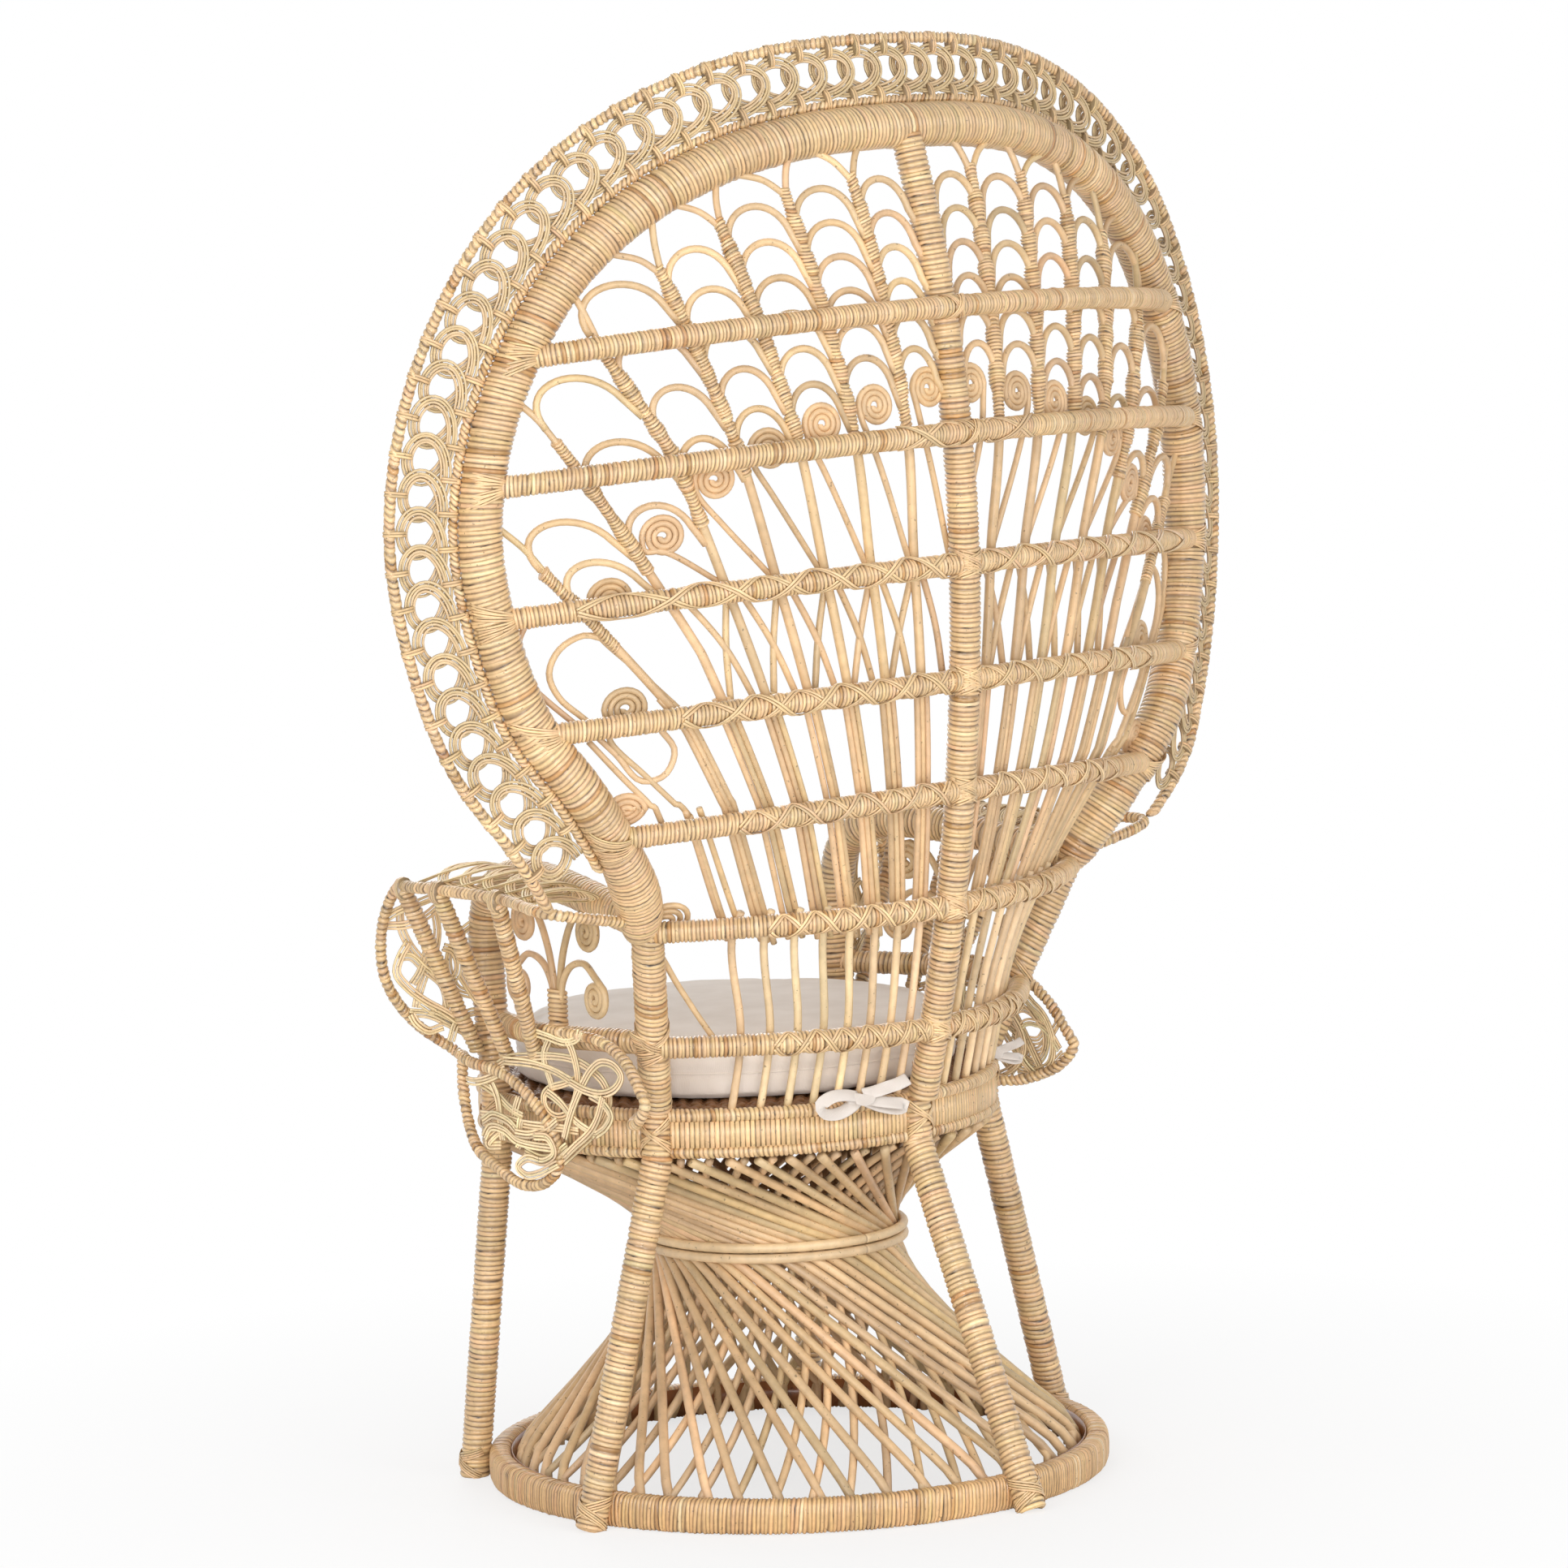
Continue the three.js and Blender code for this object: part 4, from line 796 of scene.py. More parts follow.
def lower_canes(j, side):
    """Bundle of three canes, then one cane to the seat."""
    z = np.linspace(BAR_Z[5] - 23 - 5 * rng.random(), BAR_Z[3] + 4 if j <= RIBS else BAR_Z[4], 30)
    for offset in BUNDLE_OFFSETS:
        line = np.stack([rib_x(j, z) + offset, z + rng.normal(0, 2)], axis=1)
        cane(line, side, rng.normal(0, 0.6), BUNDLE_DIAMETER)
    low_z = np.array([SEAT_Z + 4, 430, 507, 601, 626])
    low_x = j * np.interp(low_z, [430, 507, 601], [24, 24.5, 28])
    cane(smooth(np.stack([low_x, low_z], axis=1), 20), side, -2, LOW_DIAMETER, BARE_PALE)


def curl(j, side):
    """Curl with a tail that runs down to the next rib in."""
    x, z = CURLS[j - 1]
    turn = np.linspace(0, 2 * np.pi * CURL_TURNS, CURL_STEPS)
    radius = np.linspace(CURL_RADIUS, CURL_EYE, CURL_STEPS)
    spiral = np.stack([x + radius * np.cos(turn), z + radius * np.sin(turn)], axis=1)
    if j < RIBS:
        mid_z = max(z - 45, BAR_Z[2] + 36)
        tail = [(rib_x(j - 0.97, BAR_Z[2]), BAR_Z[2]), (rib_x(j - 0.36, mid_z), mid_z)]
    else:
        tail = LAST_TAIL if j == len(CURLS) else [(x - 68, z - 118), (x - 21, z - 70), (x + 14, z - 32)]
    tail = smooth(tail + [spiral[0] - (3, 14), spiral[0]], 24)
    cane(np.vstack([tail[:-1], spiral]), side, 3)


for side in SIDES:
    for j in range(1, RIBS + 1):
        rib(j, side)
    for j in range(1, RIBS + 2):
        lower_canes(j, side)
    for j in range(1, len(CURLS) + 1):
        curl(j, side)
    # Slanting canes between the third and fourth bars
    for j in range(0, RIBS - 1):
        slanting([(j + 0.73, BAR_Z[2] - 12), (j + 0.45, SLANT_MID_Z), (j + 0.23, BAR_Z[3] - 4)], side, 5)
        if j:
            slanting([(j, BAR_Z[2] - 10), (j + 0.4, SLANT_MID_Z), (j + 0.8, BAR_Z[3] - 4)], side, 6)
    for loop in SIDE_LOOPS:
        cane(smooth(loop, 24), side, 4, LOOP_DIAMETER)
rib_nodes = ["rib_%s_%d" % (label, j) for label in ("left", "right") for j in range(1, RIBS + 1)]
stems.make(CANE, *rib_nodes)
fan.make(STICK, *rib_nodes)

# Base
legs = Piece("legs")
for foot_angle, top_angle in LEG_ANGLES:
    top = seat_point(top_angle, SEAT_RADIUS, SEAT_Z - APRON_DEPTH - 4)
    foot = ring_point(foot_angle, FOOT_RADIUS, FLOOR_GAP)
    wrapped(legs, np.linspace(top, foot, 40), LEG_DIAMETER, width=5.4, first=BACK)
    outward = ring_point(foot_angle, 1.0, 0)
    lash(legs, foot + (top - foot) * 0.05, top - foot, outward, LEG_DIAMETER / 2, 15, strands=4, sweep=115)
legs.make(CANE, "leg_rear", "leg_left", "leg_right", "leg_front_left", "leg_front_right")

base = Piece("floor_hoop")
around = np.linspace(0, 360, 241)
ring = ring_point(around, BASE_RADIUS - BASE_WALL / 2, BASE_HEIGHT / 2)
wrapped(base, ring, BASE_HEIGHT - 0.8, width=4.2, first=BACK, flat=BASE_WALL / BASE_HEIGHT, square=0.6,
        colour=BASE_WRAP, spread=0.08)
wall = BASE_RADIUS - BASE_WALL
# A thin dark band inside the floor hoop: the hoop's raw inner face, with painted shade over it
LINING_LOW, LINING_HIGH, LINING_THICKNESS = 3, 33, 0.6
inside = wall - LINING_THICKNESS
shaded_inner_face = ((wall, LINING_LOW), (wall, LINING_HIGH), (inside, LINING_HIGH), (inside, LINING_LOW))
rows = np.stack([ring_point(around, r, z) for r, z in shaded_inner_face], axis=1)
base.grid(rows, linear(RAW_INNER_FACE_IN_SHADE) * (1 + 0.15 * rng.standard_normal((len(around), 1, 1))), closed_ends=False)
base.make(CANE, "base_hoop")

hourglass = Piece("hourglass_canes")
INNER_TWIST, INNER_SET, foot_z, end_z = 22, 9, 32, 5
WAIST_ROD, WAIST_ROD_OUT, WAIST_ROD_LIFT = 10, 9, 5.6
head_radius, foot_radius = SEAT_RADIUS - BOTTOM_ROD / 4, wall - CANE_DIAMETER / 2 - 0.3
head_z = SEAT_Z - APRON_DEPTH - BOTTOM_ROD / 2 - CANE_DIAMETER / 2
head_twist, foot_twist = [math.degrees(math.acos(WAIST_RADIUS / r)) for r in (head_radius, foot_radius)]
t = np.linspace(-1, 1, 37)
upper = np.abs(t) * (t < 0)
lower = np.abs(t) * (t >= 0)
cane_z = WAIST_Z + (head_z - WAIST_Z) * upper + (foot_z - WAIST_Z) * lower
cane_y = -WAIST_FORWARD + (WAIST_FORWARD - SEAT_FORWARD) * upper + WAIST_FORWARD * lower
far = np.where(t < 0, head_radius, foot_radius)
cane_radius = np.hypot(WAIST_RADIUS, t * np.sqrt(far ** 2 - WAIST_RADIUS ** 2)) - INNER_SET
for i in range(CANE_COUNT):
    angle = 360 * i / CANE_COUNT + rng.normal(0, 0.5)
    middle = ring_point(angle, WAIST_RADIUS, WAIST_Z, WAIST_FORWARD)
    head = seat_point(angle + head_twist, head_radius, head_z)
    foot = ring_point(angle - foot_twist, foot_radius, foot_z)
    end = ring_point(angle - foot_twist - 2, foot_radius, end_z)
    line = np.vstack([np.linspace(head, middle, 12)[:-1], np.linspace(middle, foot, 18), end])
    for _ in range(2):
        line[1:-1] = (line[:-2] + 2 * line[1:-1] + line[2:]) / 4
    tube(hourglass, line, CANE_DIAMETER * rng.uniform(1.1, 1.22), spread=0.09, sides=10)
    # Inner cane, which crosses the outer ones the other way
    bearing = np.radians(angle + 180 / CANE_COUNT + INNER_TWIST * t)
    line = np.stack([cane_radius * np.sin(bearing), cane_y + cane_radius * np.cos(bearing), cane_z], axis=1)
    line = np.vstack([line, line[-1] * (1, 1, 0) + (0, 0, end_z)])
    tube(hourglass, line, CANE_DIAMETER * rng.uniform(0.95, 1.05), spread=0.09)
for lift in (-WAIST_ROD_LIFT, WAIST_ROD_LIFT):
    ring = ring_point(around, WAIST_RADIUS + WAIST_ROD_OUT, WAIST_Z + lift, WAIST_FORWARD)
    tube(hourglass, ring, WAIST_ROD, BARE_PALE, sides=12)
hourglass.make(STICK, "hourglass_weave")

# Seat ring: two rods, the reeds between them, and the legs' wrapped heads
apron = Piece("seat_apron")
wrapped(apron, seat_point(around, SEAT_RADIUS, SEAT_Z), TOP_ROD, width=5, sides=12)
wrapped(apron, seat_point(around, SEAT_RADIUS, SEAT_Z - APRON_DEPTH), BOTTOM_ROD, width=5, sides=12)
REEDS = 330
REED_PHASES, REED_DEPTHS = np.array([0.0, 0.2, 0.8]), [-1.3, 0.6, 0.6]
at = (np.arange(REEDS)[:, None] + REED_PHASES).ravel() * 360 / REEDS
depth = np.tile(REED_DEPTHS, REEDS)
low, high = SEAT_Z - APRON_DEPTH + 5, SEAT_Z - 6
profile = ((4, low), (4.6, (low + high) / 2), (4, high), (-4, high), (-4, low))
rows = np.stack([seat_point(at, SEAT_RADIUS + r + (depth if r > 0 else 0), z) for r, z in profile], axis=1)
shade = np.repeat(shades(REED, REEDS, 0.08), len(REED_PHASES), axis=0)
# The gap row between reeds painted darker: painted shade between the reeds
shade[::len(REED_PHASES)] *= rng.uniform(0.15, 0.6, (REEDS, 1))
apron.grid(np.vstack([rows, rows[:1]]), np.vstack([shade, shade[:1]])[:, None, :], closed_ends=False)
for _, angle in LEG_ANGLES:
    cover = seat_point(angle, SEAT_RADIUS + 1, np.array([SEAT_Z + 9, SEAT_Z - APRON_DEPTH - 8.0]))
    wrapped(apron, np.linspace(*cover, 12), LEG_DIAMETER, width=5.4, first=BACK)
    for reach in (19, 12):
        lash(apron, cover.mean(axis=0), UP, ring_point(angle, 1.0, 0), LEG_DIAMETER / 2, reach, sweep=80)
apron.make(CANE, "apron_top_rim", "apron_bottom_rim", "apron_band")

deck = Piece("seat_deck_weave")
REED_PITCH, DECK_RISE, DECK_RIPPLE, DECK_ROWS, DECK_STEPS = 10.6, 3, 2.2, 23, 60
DECK_EDGE, DECK_REED_DIAMETER = 30, 8
deck_radius = SEAT_RADIUS - TOP_ROD / 2 - 1
for i in range(-DECK_ROWS, DECK_ROWS + 1):
    offset = i * REED_PITCH
    half_chord = math.sqrt(deck_radius ** 2 - offset ** 2)
    t = np.linspace(-half_chord, half_chord, DECK_STEPS)
    ripple = DECK_RIPPLE * np.sin(t / REED_PITCH * np.pi + i * np.pi)
    inside = np.clip((half_chord - np.abs(t)) / DECK_EDGE, 0, 1)
    level = SEAT_Z + 1 + DECK_RISE * inside
    for x, y, way in ((t, 0 * t + offset, 1), (0 * t + offset, t, -1)):
        row = np.stack([x, y - SEAT_FORWARD, level + way * ripple * inside], axis=1)
        # Reeds painted dark: painted shade under the pad
        tube(deck, row, DECK_REED_DIAMETER, DECK_REED_SHADED, sides=6)
deck.make(STICK, "seat_deck")

# Arms
front = seat_point(ARM_ANGLE, SEAT_RADIUS, 0)


def near_seat(*places):
    """Points given as distance out of the seat ring, behind the seat's middle and above the ring."""
    return list(np.array(places) + (SEAT_RADIUS, -SEAT_FORWARD, SEAT_Z))


arm_knots = [front + (0, 0, SEAT_Z + 3), front + (2, -2, SEAT_Z + 90), front + (4, -2, ARM_Z - 62),
             front + (7, 14, ARM_Z - 20), front + (12, 52, ARM_Z), front + (26, 130, ARM_Z + 2), hoop_end]
arm_line = smooth(arm_knots, 160)
rim_tie = outer_line[-1] - (OUTER_ROD + ARM_RIM_DIAMETER) / 2 / math.sqrt(3)
ARM_RISE = ARM_Z - SEAT_Z
rim_knots = [hoop_end, rim_tie, *near_seat(
    (114, 76, ARM_RISE), (107, 1, ARM_RISE + 1), (101, -74, ARM_RISE), (84, -128, ARM_RISE - 9),
    (93, -141, ARM_RISE - 50), (90, -142, ARM_RISE - 101), (54, -142, 85), (18, -124, 53), (26, -89, 44),
    (31, -31, 37), (34, 16, 15), (33, 46, -17), (32, 52, -49), (33, 31, -70), (34, -4, -75), (31, -42, -63),
    (22, -87, -45), (13, -112, -11), (13, -116, 21))]
rim_line = smooth(rim_knots, 460)
rim_end = near_seat((14, -114, 36), (19, -107, 52))
lobe_knots = near_seat((30, 39, 89), (31, 92, 87), (33, 129, 83), (35, 163, 66), (38, 185, 42), (40, 195, 27),
                       (34, 178, 8), (14, 146, -1), (-20, 119, 0))
lobe_line = smooth(lobe_knots, 120)
rail_line = smooth([seat_point(ARM_ANGLE, SEAT_RADIUS, ARM_RAIL_Z),
                    seat_point((ARM_ANGLE + POST_ANGLE) / 2, ARM_RAIL_RADIUS, ARM_RAIL_Z),
                    seat_point(POST_ANGLE, ARM_RAIL_REAR, ARM_RAIL_Z)], 80)
RIGHT_LOBE_DROP, LOBE_OUT, LOBE_TURN_IN, LOBE_TURN_Y, LOBE_TURN_LENGTH = 30, 303, 22, -60, 132
ARM_GIRTHS = [0, 0.3, 0.6, 1], [30, 38, 36, 34]
POST_LASH, LACE_FROM_ARM, LACE_MARGINS, ARM_CROWN, WEAVE_STEP, WEAVE_WAVE = 0.39, 18, 29, 12, 3.4, 2
STRUT_ANGLES, STRUT_TOPS = (109, 96, 87), (180, 150, 110)
WING_TIP = np.array([361, -217, 0])

# Ribbons of the front wing, as distance from the upright and height
WING = [[(119, 609), (101, 617), (81, 623), (60, 629)], [(115, 602), (93, 601), (73, 608), (52, 621)],
        [(97, 620), (97, 599), (89, 579), (72, 557), (53, 534), (50, 514), (57, 498)],
        [(91, 584), (102, 569), (107, 553), (96, 537), (77, 521), (54, 507), (39, 496)],
        [(103, 568), (90, 568), (75, 554), (55, 536), (50, 512)],
        [(60, 613), (57, 589), (62, 566), (74, 544), (83, 522), (85, 514)],
        [(54, 575), (42, 569), (38, 555), (43, 543), (53, 540)], [(70, 573), (77, 557), (88, 539)],
        [(91, 509), (70, 505), (48, 493), (26, 480)], [(92, 508), (87, 498), (73, 489), (57, 492)],
        [(49, 476), (42, 493), (25, 503), (7, 502)], [(79, 519), (57, 503), (35, 490), (8, 483)],
        [(37, 545), (16, 513), (3, 499), (8, 490)], [(12, 600), (34, 585), (48, 560), (40, 530), (14, 520)]]
# Ribbons of the side lobes, as distance behind the middle of the chair and height
LOBES = [[(-119, 458), (-97, 467), (-63, 472), (-25, 476), (6, 475), (30, 467), (48, 454), (54, 438),
          (46, 419), (30, 402), (9, 387), (-19, 367)], [(-101, 465), (-63, 466), (-26, 461), (6, 453)],
         [(6, 453), (29, 446), (53, 445), (72, 453), (80, 465), (70, 475), (51, 477), (36, 468), (20, 446),
          (6, 420), (-5, 394)],
         [(17, 458), (-14, 448), (-37, 441), (-46, 432), (-43, 420), (-29, 413), (-10, 417), (5, 433),
          (12, 457), (7, 480), (-2, 494), (-14, 503)], [(-37, 438), (-13, 427), (11, 412), (35, 401)],
         [(32, 442), (56, 435), (67, 424), (58, 412), (39, 401)],
         [(-34, 491), (-39, 476), (-38, 458), (-32, 441)],
         [(-61, 501), (-34, 497), (-6, 492), (16, 499), (21, 506)],
         [(57, 442), (48, 424), (33, 406), (9, 387), (-6, 374)],
         [(-157, 436), (-132, 428), (-100, 416), (-77, 409)],
         [(-153, 402), (-108, 404), (-67, 402), (-17, 403), (10, 402)],
         [(-144, 379), (-130, 392), (-101, 393), (-79, 384), (-53, 381), (-21, 381)],
         [(-84, 428), (-89, 409), (-97, 390)], [(-76, 407), (-80, 388), (-84, 375)],
         [(-52, 392), (-30, 391), (-23, 377), (-41, 366), (-69, 366), (-83, 356), (-70, 349), (-47, 353),
          (-17, 366)],
         [(-75, 373), (-54, 367), (-31, 372), (-9, 385)],
         [(-128, 438), (-119, 422), (-111, 401), (-110, 381)],
         [(-146, 397), (-120, 407), (-94, 403), (-81, 392)], [(-124, 387), (-141, 372), (-122, 373)],
         [(-181, 435), (-153, 437), (-128, 444), (-102, 455)],
         [(-81, 392), (-61, 392), (-40, 398), (-16, 411)]]
# More of them where the right rear lobe is wider than the left one
RIGHT_LOBE = [[(20, 500), (58, 496), (86, 480), (98, 455), (92, 430), (68, 417), (38, 410)],
              [(35, 490), (66, 482), (84, 462), (80, 440), (60, 424), (30, 430)],
              [(100, 472), (80, 448), (60, 436), (38, 440), (24, 460), (30, 484), (52, 496)],
              [(108, 446), (92, 462), (72, 470), (52, 462), (44, 444), (52, 424), (74, 414)],
              [(2, 486), (30, 470), (56, 448), (72, 428), (78, 416)],
              [(10, 440), (34, 424), (60, 418), (88, 426), (104, 440)]]
# Stems and curls of the scroll tree, as distance from its middle and height above the rail
UPPER_STEM, UPPER_CURL = [(3, 34), (7, 62), (16, 92), (34, 122), (56, 133)], (61, 113)
LOWER_STEM, LOWER_CURL = [(5, 30), (11, 56), (27, 74), (54, 80), (77, 66)], (74, 46)
TREE_ON_RAIL, TREE_CURL_TURNS = 47, 2.6


def arm_frame(side, label):
    """Arm hoop, rail, rims and struts."""
    body = Piece(label + "_arm_frame")
    girth = np.interp(np.linspace(0, 1, 60), *ARM_GIRTHS)
    wrapped(body, on_side(arm_line, side), girth, first=(1, 0, 0), sides=18)
    wrapped(body, on_side(rail_line, side), ARM_RAIL_DIAMETER)
    drop = RIGHT_LOBE_DROP * (side < 0) * np.clip(np.linspace(-0.2, 1.2, len(lobe_line)), 0, 1)
    for line in (np.vstack([rim_line, rim_end]), lobe_line - np.outer(drop, UP)):
        wrapped(body, on_side(line, side), ARM_RIM_DIAMETER, width=5.8, sides=10, spread=0.12)
    for angle, index in zip(STRUT_ANGLES, STRUT_TOPS):
        foot = seat_point(angle, STRUT_FOOT_RADIUS, STRUT_FOOT_Z - 6)
        line = on_side(np.linspace(foot, rim_line[index] - 3 * UP, 40), side)
        wrapped(body, line, np.linspace(15, 18, 20), width=5.0, sides=12, first=BACK)
        rim_way = on_side(rim_line[index + 4] - rim_line[index - 4], side)
        band(body, line[-1], rim_way, UP, 12, 9.5, 11, 3)
    post_way = on_side(hoop_end - post_foot, side)
    lash(body, on_side(post_foot, side) + post_way * POST_LASH, post_way, on_side((0.7, 0.7, 0), side),
         POST_DIAMETER / 2, 20, strands=3, sweep=120)
    body.make(CANE, *[label + name for name in ("_arm_hoop", "_arm_rail", "_arm_rim", "_rear_lobe_rim")],
              *[label + "_arm_strut_%d" % (k + 1) for k in range(len(STRUT_TOPS))])


def weave_depth(k, count):
    """Ribbons of a weave pass before and behind each other."""
    return WEAVE_STEP * (k % 3 - 1) + WEAVE_WAVE * np.sin(np.linspace(0, 6, count) + k)


def arm_weave(side, label):
    """Looping ribbons on the arm's top, and the weaves of its wing and lobes."""
    weave = Piece(label + "_arm_weave")
    inner, outer = smooth(arm_knots[3:], 120), smooth(rim_knots[1:6][::-1], 120)
    mean = (lengths(inner)[-1] + lengths(outer)[-1]) / 2
    for start, loops, lift in ((40, 6, 8), (58, 5, -7)):
        steps = np.arange(loops * LACE_STEPS + 1) / LACE_STEPS
        turn = 2 * np.pi * steps
        at = start + LACE_PITCH * steps + LACE_SWING * np.sin(turn)
        a, b = [along(line, at * lengths(line)[-1] / mean) for line in (inner, outer)]
        gap = np.linalg.norm(b - a, axis=1)
        across = np.interp(np.cos(turn), [-1, 1], [0, 1]) * (1 - LACE_MARGINS / gap) + LACE_FROM_ARM / gap
        rise = lift * np.sin(turn) + ARM_CROWN * np.sin(np.pi * across)
        line = a + (b - a) * across[:, None] + np.outer(rise, UP)
        ribbon(weave, on_side(line, side), 4, 2.6, UP, LACE_PALE)
    ahead = unit((WING_TIP - front) * (1, 1, 0))
    facing = np.cross(ahead, UP)
    for k, places in enumerate(WING):
        out, z = smooth(places, 26).T
        line = front + np.outer(out, ahead) + np.outer(weave_depth(k, len(z)), facing) + np.outer(z, UP)
        ribbon(weave, on_side(line, side), 3, 2.9, on_side(facing, side), LACE_PALE, spread=0.1)
    for k, places in enumerate(LOBES + RIGHT_LOBE * (side < 0)):
        y, z = smooth(places, 10 * len(places)).T
        turn_in = LOBE_TURN_IN * (np.maximum(LOBE_TURN_Y - y, 0) / LOBE_TURN_LENGTH) ** 2
        x = LOBE_OUT - turn_in + weave_depth(k, len(y))
        drop = RIGHT_LOBE_DROP * np.clip((y + 20) / 90, 0, 1) * (side < 0)
        line = on_side(np.stack([x, y, z - drop], axis=1), side)
        # Right side's lobe ribbons in a lighter colour: painted light where those lobes lie in shadow
        ribbon(weave, line, 3, 2.8, (side, 0, 0), LACE_PALE if side > 0 else LACE_LIT_RIGHT, spread=0.1)
    weave.make(STRAW, label + "_arm_lace")


def arm_scrolls(side, label):
    """Scroll tree on the rail."""
    scrolls = Piece(label + "_arm_scroll_tree")
    forward = unit((front - hoop_end) * (1, 1, 0))

    def tree(flat):
        ahead, rise = flat.T
        return on_side(rail_line[TREE_ON_RAIL] + np.outer(ahead, forward) + np.outer(rise, UP), side)

    wrapped(scrolls, tree(np.array([(0, 6), (0, 48)])), 20, width=4.6, sides=14)
    for spin in SIDES:
        for stem, centre in ((UPPER_STEM, UPPER_CURL), (LOWER_STEM, LOWER_CURL)):
            arm = np.array(stem[-1], float) - centre
            turn = np.linspace(0, 2 * np.pi * TREE_CURL_TURNS, 60)[3:]
            radius = np.interp(turn, [0, turn[-1]], [np.linalg.norm(arm), 2.6])
            bearing = math.atan2(arm[1], arm[0]) - turn
            spiral = centre + np.stack([np.cos(bearing), np.sin(bearing)], axis=1) * radius[:, None]
            tube(scrolls, tree(np.vstack([smooth(stem, 26), spiral]) * (spin, 1)), 7.4, first=forward)
    scrolls.make(STICK, label + "_arm_scrolls")


for side, label in zip(SIDES, ("left", "right")):
    arm_frame(side, label)
    arm_weave(side, label)
    arm_scrolls(side, label)

# Seat pad: a boxed cushion swelled by cloth simulation, then drawn in at its mid-side seam
PAD_CAP, PAD_INSET, SEAM_DEPTH, SEAM_HALF, SEAM_REACH, PAD_SIDES = 9, 4, 3, 5, 12, 96
PAD_VOXEL, PAD_PRESSURE, PAD_TENSION, PAD_BENDING, PAD_FRAMES = 6, 4, 25, 2, 20
pad_low, pad_high = DECK_TOP - 3, DECK_TOP + PAD_THICKNESS - 4
pad_mid = (pad_low + pad_high) / 2
edge = PAD_RADIUS - PAD_INSET
pad_profile = [(0.5, pad_low), (120, pad_low), (edge - 10, pad_low), (edge - 2, pad_low + 4),
               (edge, pad_mid - 9), (edge, pad_mid), (edge, pad_mid + 9), (edge - 3, pad_high - 5),
               (edge - 15, pad_high), (120, pad_high + 4), (0.5, pad_high + 5)]
turn = np.linspace(0, 360, PAD_SIDES, endpoint=False)
pad_rows = np.array([seat_point(turn, r, z) for r, z in pad_profile])
index = np.arange(pad_rows.shape[0] * PAD_SIDES).reshape(-1, PAD_SIDES)
nxt = np.roll(index, -1, axis=1)
pad_faces = np.stack([index[:-1], index[1:], nxt[1:], nxt[:-1]], axis=-1).reshape(-1, 4).tolist()
pad_faces += [index[0].tolist(), index[-1][::-1].tolist()]
pad_mesh = bpy.data.meshes.new("seat_pad")
pad_mesh.from_pydata(((pad_rows.reshape(-1, 3) + (0, SHIFT_Y, 0)) * MM).tolist(), [], pad_faces)
pad = added("seat_pad", pad_mesh)
bpy.context.view_layer.objects.active = pad


def swell():
    """Cloth simulation of the pad under pressure, with each move held to PAD_CAP."""
    pad.data.remesh_voxel_size = PAD_VOXEL * MM
    with bpy.context.temp_override(object=pad, active_object=pad, selected_objects=[pad]):
        bpy.ops.object.voxel_remesh()
    before = np.array([v.co for v in pad.data.vertices])
    settings = pad.modifiers.new("Cloth", "CLOTH").settings
    settings.use_pressure = True
    settings.uniform_pressure_force = PAD_PRESSURE
    settings.effector_weights.gravity = 0
    settings.tension_stiffness = PAD_TENSION
    settings.bending_stiffness = PAD_BENDING
    for step in range(1, PAD_FRAMES + 1):
        bpy.context.scene.frame_set(step)
    shown = pad.evaluated_get(bpy.context.evaluated_depsgraph_get())
    after = np.array([v.co for v in shown.data.vertices])
    pad.modifiers.clear()
    bpy.context.scene.frame_set(1)
    move = after - before
    size = np.linalg.norm(move, axis=1, keepdims=True)
    after = before + move * np.minimum(1, PAD_CAP * MM / np.maximum(size, 1e-9))
    after[:, 2] = np.maximum(after[:, 2], (pad_low - 0.5) * MM)
    pad.data.vertices.foreach_set("co", after.ravel())
    pad.data.update()


swell()
axis = np.array([0, SHIFT_Y - SEAT_FORWARD, 0])
points = np.array([v.co for v in pad.data.vertices]) / MM - axis
radius = np.linalg.norm(points[:, :2], axis=1)
on_edge = radius > edge - SEAM_REACH
groove = SEAM_DEPTH * np.exp(-((points[:, 2] - pad_mid) / SEAM_HALF) ** 2) * on_edge
points[:, :2] *= (1 - groove / np.maximum(radius, 1))[:, None]
pad.data.vertices.foreach_set("co", ((points + axis) * MM).ravel())
pad.data.polygons.foreach_set("use_smooth", [True] * len(pad.data.polygons))
pad.modifiers.new("Subdivision", "SUBSURF").levels = 1
pad.data.materials.append(CLOTH)
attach(pad, "root")
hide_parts("seat_cushion")

seam = Piece("pad_seam")
near_seam = (np.abs(points[:, 2] - pad_mid) < 3) & on_edge
seam_radius = np.median(np.linalg.norm(points[near_seam][:, :2], axis=1))
tube(seam, seat_point(around, seam_radius + 0.2, pad_mid), 2.6, COTTON, spread=0.01)
seam.make(CLOTH)

# Bows of cotton tape, given along the ring, upward and outward from the knot
TAPE_WIDTH, TAPE_THICKNESS, TAPE_SIDES, BOW_RISE = 14, 1.8, 10, 12
BOW = [[(3, 0, 2), (18, 4, 6), (36, 4, 8), (48, -4, 6), (44, -13, 4), (28, -15, 3), (10, -8, 2), (3, -2, 1)],
       [(-3, -2, 2), (-18, -6, 6), (-38, -10, 7), (-49, -13, 5), (-43, -17, 3), (-24, -13, 2), (-5, -5, 1)],
       [(-3, 2, 2), (-20, 5, 5), (-40, 9, 5), (-54, 13, 3)],
       [(-8, 8, 1), (-8, 0, 6), (0, -3, 9), (8, -1, 6), (9, -8, 1)]]
BOW_PLACES = (("tie_bow_rear", 16.5, 16.5, 1.0, SEAT_RADIUS + 13),
              ("tie_bow_right", -48, 8, 0.68, SEAT_RADIUS + 3))


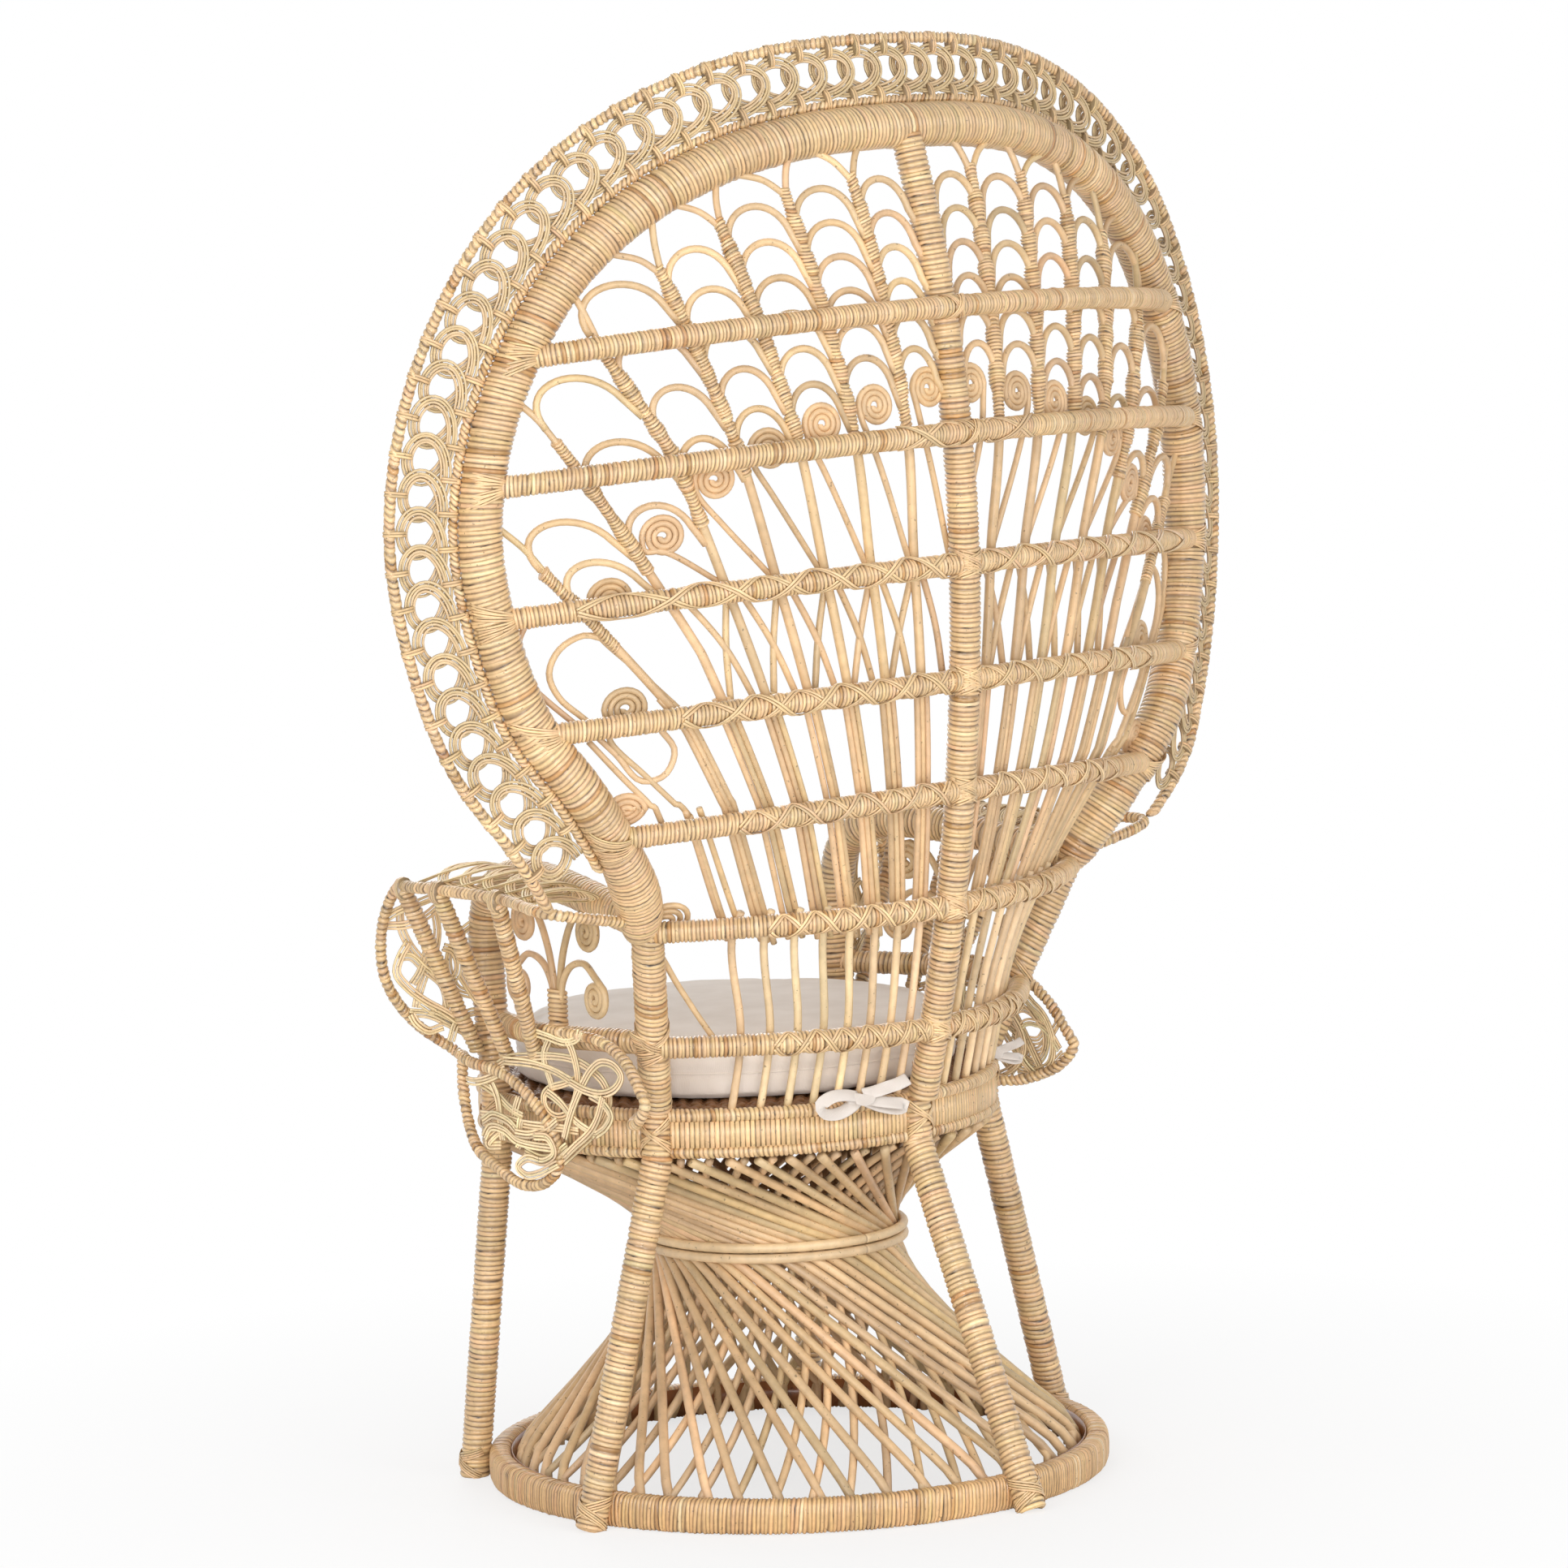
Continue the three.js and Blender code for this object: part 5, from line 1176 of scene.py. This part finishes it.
def tape(piece, line, width, normal):
    tangent = unit(np.gradient(line, axis=0))
    wide = unit(np.cross(tangent, np.broadcast_to(normal, line.shape)))
    face = np.cross(tangent, wide)
    turn = circle(TAPE_SIDES)
    shape = np.sign(np.cos(turn)) * np.abs(np.cos(turn)) ** 0.4 * width / 2
    crease = 0.8 * np.sin(np.linspace(0, 9, len(line)))[:, None] * np.cos(turn * 2)[None]
    depth = np.sin(turn) * TAPE_THICKNESS / 2 + crease
    piece.grid(line[:, None] + wide[:, None] * shape[None, :, None] + face[:, None] * depth[..., None],
               linear(COTTON))


for name, angle, facing, size, radius in BOW_PLACES:
    piece = Piece(name + "_tape")
    knot = seat_point(angle, radius, SEAT_Z + BOW_RISE)
    outward = ring_point(facing, 1.0, 0)
    axes = np.stack([np.cross(outward, UP), UP, outward])
    for strip in BOW:
        tape(piece, knot + smooth(strip, 26) * size @ axes, TAPE_WIDTH * size, 0.8 * outward + 0.6 * UP)
    piece.make(SHADED_TAPE_CLOTH, name)

# Camera at the photograph's place; the focal length is in pixels of the picture
CAMERA_TURN, CAMERA_HEIGHT, CAMERA_AWAY, CAMERA_SHIFT = math.radians(43.18846), 1619.31, 7540.71, -3
YAW, PITCH, ROLL = math.radians(0.07617), math.radians(6.76728), math.radians(-1.95776)
FOCAL_PIXELS, PICTURE_PIXELS, SENSOR = 8985.49, 1932, 36
heading = CAMERA_TURN + YAW
level = np.array([-math.sin(heading), -math.cos(heading), 0])
look = level * math.cos(PITCH) - UP * math.sin(PITCH)
rightward = np.cross(level, UP)
upward = np.cross(rightward, look)
rightward, upward = (rightward * math.cos(ROLL) + upward * math.sin(ROLL),
                     upward * math.cos(ROLL) - rightward * math.sin(ROLL))
where = ring_point(math.degrees(CAMERA_TURN), CAMERA_AWAY, CAMERA_HEIGHT) + BACK * (CAMERA_SHIFT + SHIFT_Y)
camera = added("camera", bpy.data.cameras.new("camera"))
camera.data.sensor_width = SENSOR
camera.data.lens = SENSOR * FOCAL_PIXELS / PICTURE_PIXELS
camera.data.clip_end = 60
rows = np.column_stack([rightward, upward, -look, where * MM])
camera.matrix_world = Matrix([*rows.tolist(), (0, 0, 0, 1)])
bpy.context.scene.camera = camera

# Floor: pale, with the chair's shadow near it and plain white farther off
FLOOR_HALF, SHADOW_NEAR, SHADOW_FAR, WHITE_NEAR = 9, 0.35, 1.2, 0.72
floor_mesh = bpy.data.meshes.new("floor")
corners = [(x * FLOOR_HALF, y * FLOOR_HALF, 0) for x, y in ((-1, -1), (1, -1), (1, 1), (-1, 1))]
floor_mesh.from_pydata(corners, [], [(0, 1, 2, 3)])
floor = added("floor", floor_mesh)
material = bpy.data.materials.new("floor")
tree = Shader(material)
pale = tree.surface({"Base Color": (0.9, 0.9, 0.9, 1), "Roughness": 0.8})
white = tree.node("Emission", {"Color": (1, 1, 1, 1), "Strength": 1})
distance = tree.node("VectorMath", (), {0: tree.place()}, operation="LENGTH").outputs["Value"]
whiter = tree.mapped(distance, SHADOW_NEAR, SHADOW_FAR, WHITE_NEAR, 1)
seen = tree.joined("MULTIPLY", tree.node("LightPath").outputs["Is Camera Ray"], whiter)
blend = tree.node("MixShader", (), {"Fac": seen, 1: pale.outputs["BSDF"], 2: white.outputs["Emission"]})
tree.fit(tree.nodes["Material Output"], (), {"Surface": blend.outputs["Shader"]})
floor.data.materials.append(material)

# World: white where it is seen or mirrored, dimmer as a light
SKY_LIGHT = 0.52
world = bpy.data.worlds.new("world")
bpy.context.scene.world = world
tree = Shader(world)
rays = tree.node("LightPath").outputs
seen = tree.joined("MAXIMUM", rays["Is Camera Ray"], rays["Is Transmission Ray"])
seen = tree.joined("MAXIMUM", seen, rays["Is Glossy Ray"])
strength = tree.mapped(seen, 0, 1, SKY_LIGHT, 1)
tree.fit(tree.nodes["Background"], {"Color": (1, 1, 1, 1)}, {"Strength": strength})

# Lamps, each aimed at the middle of the chair, in metres and watts
AIM = Vector((0, 0, 0.75))


def lamp(name, spot, energy, size):
    light = bpy.data.lights.new(name, "AREA")
    light.energy = energy
    light.size = size
    obj = added(name, light)
    obj.location = spot
    obj.rotation_mode = "QUATERNION"
    obj.rotation_quaternion = (AIM - Vector(spot)).to_track_quat("-Z", "Y")


lamp("key", (4.2, 1.4, 2.6), 70, 2.2)
lamp("low", (3.4, 3.6, 0.5), 84, 1.6)
lamp("fill", (0.2, 4.8, 2.0), 78, 2.6)
lamp("front", (-2.0, -3.6, 2.8), 60, 2.6)

bpy.context.scene.view_settings.view_transform = "Standard"
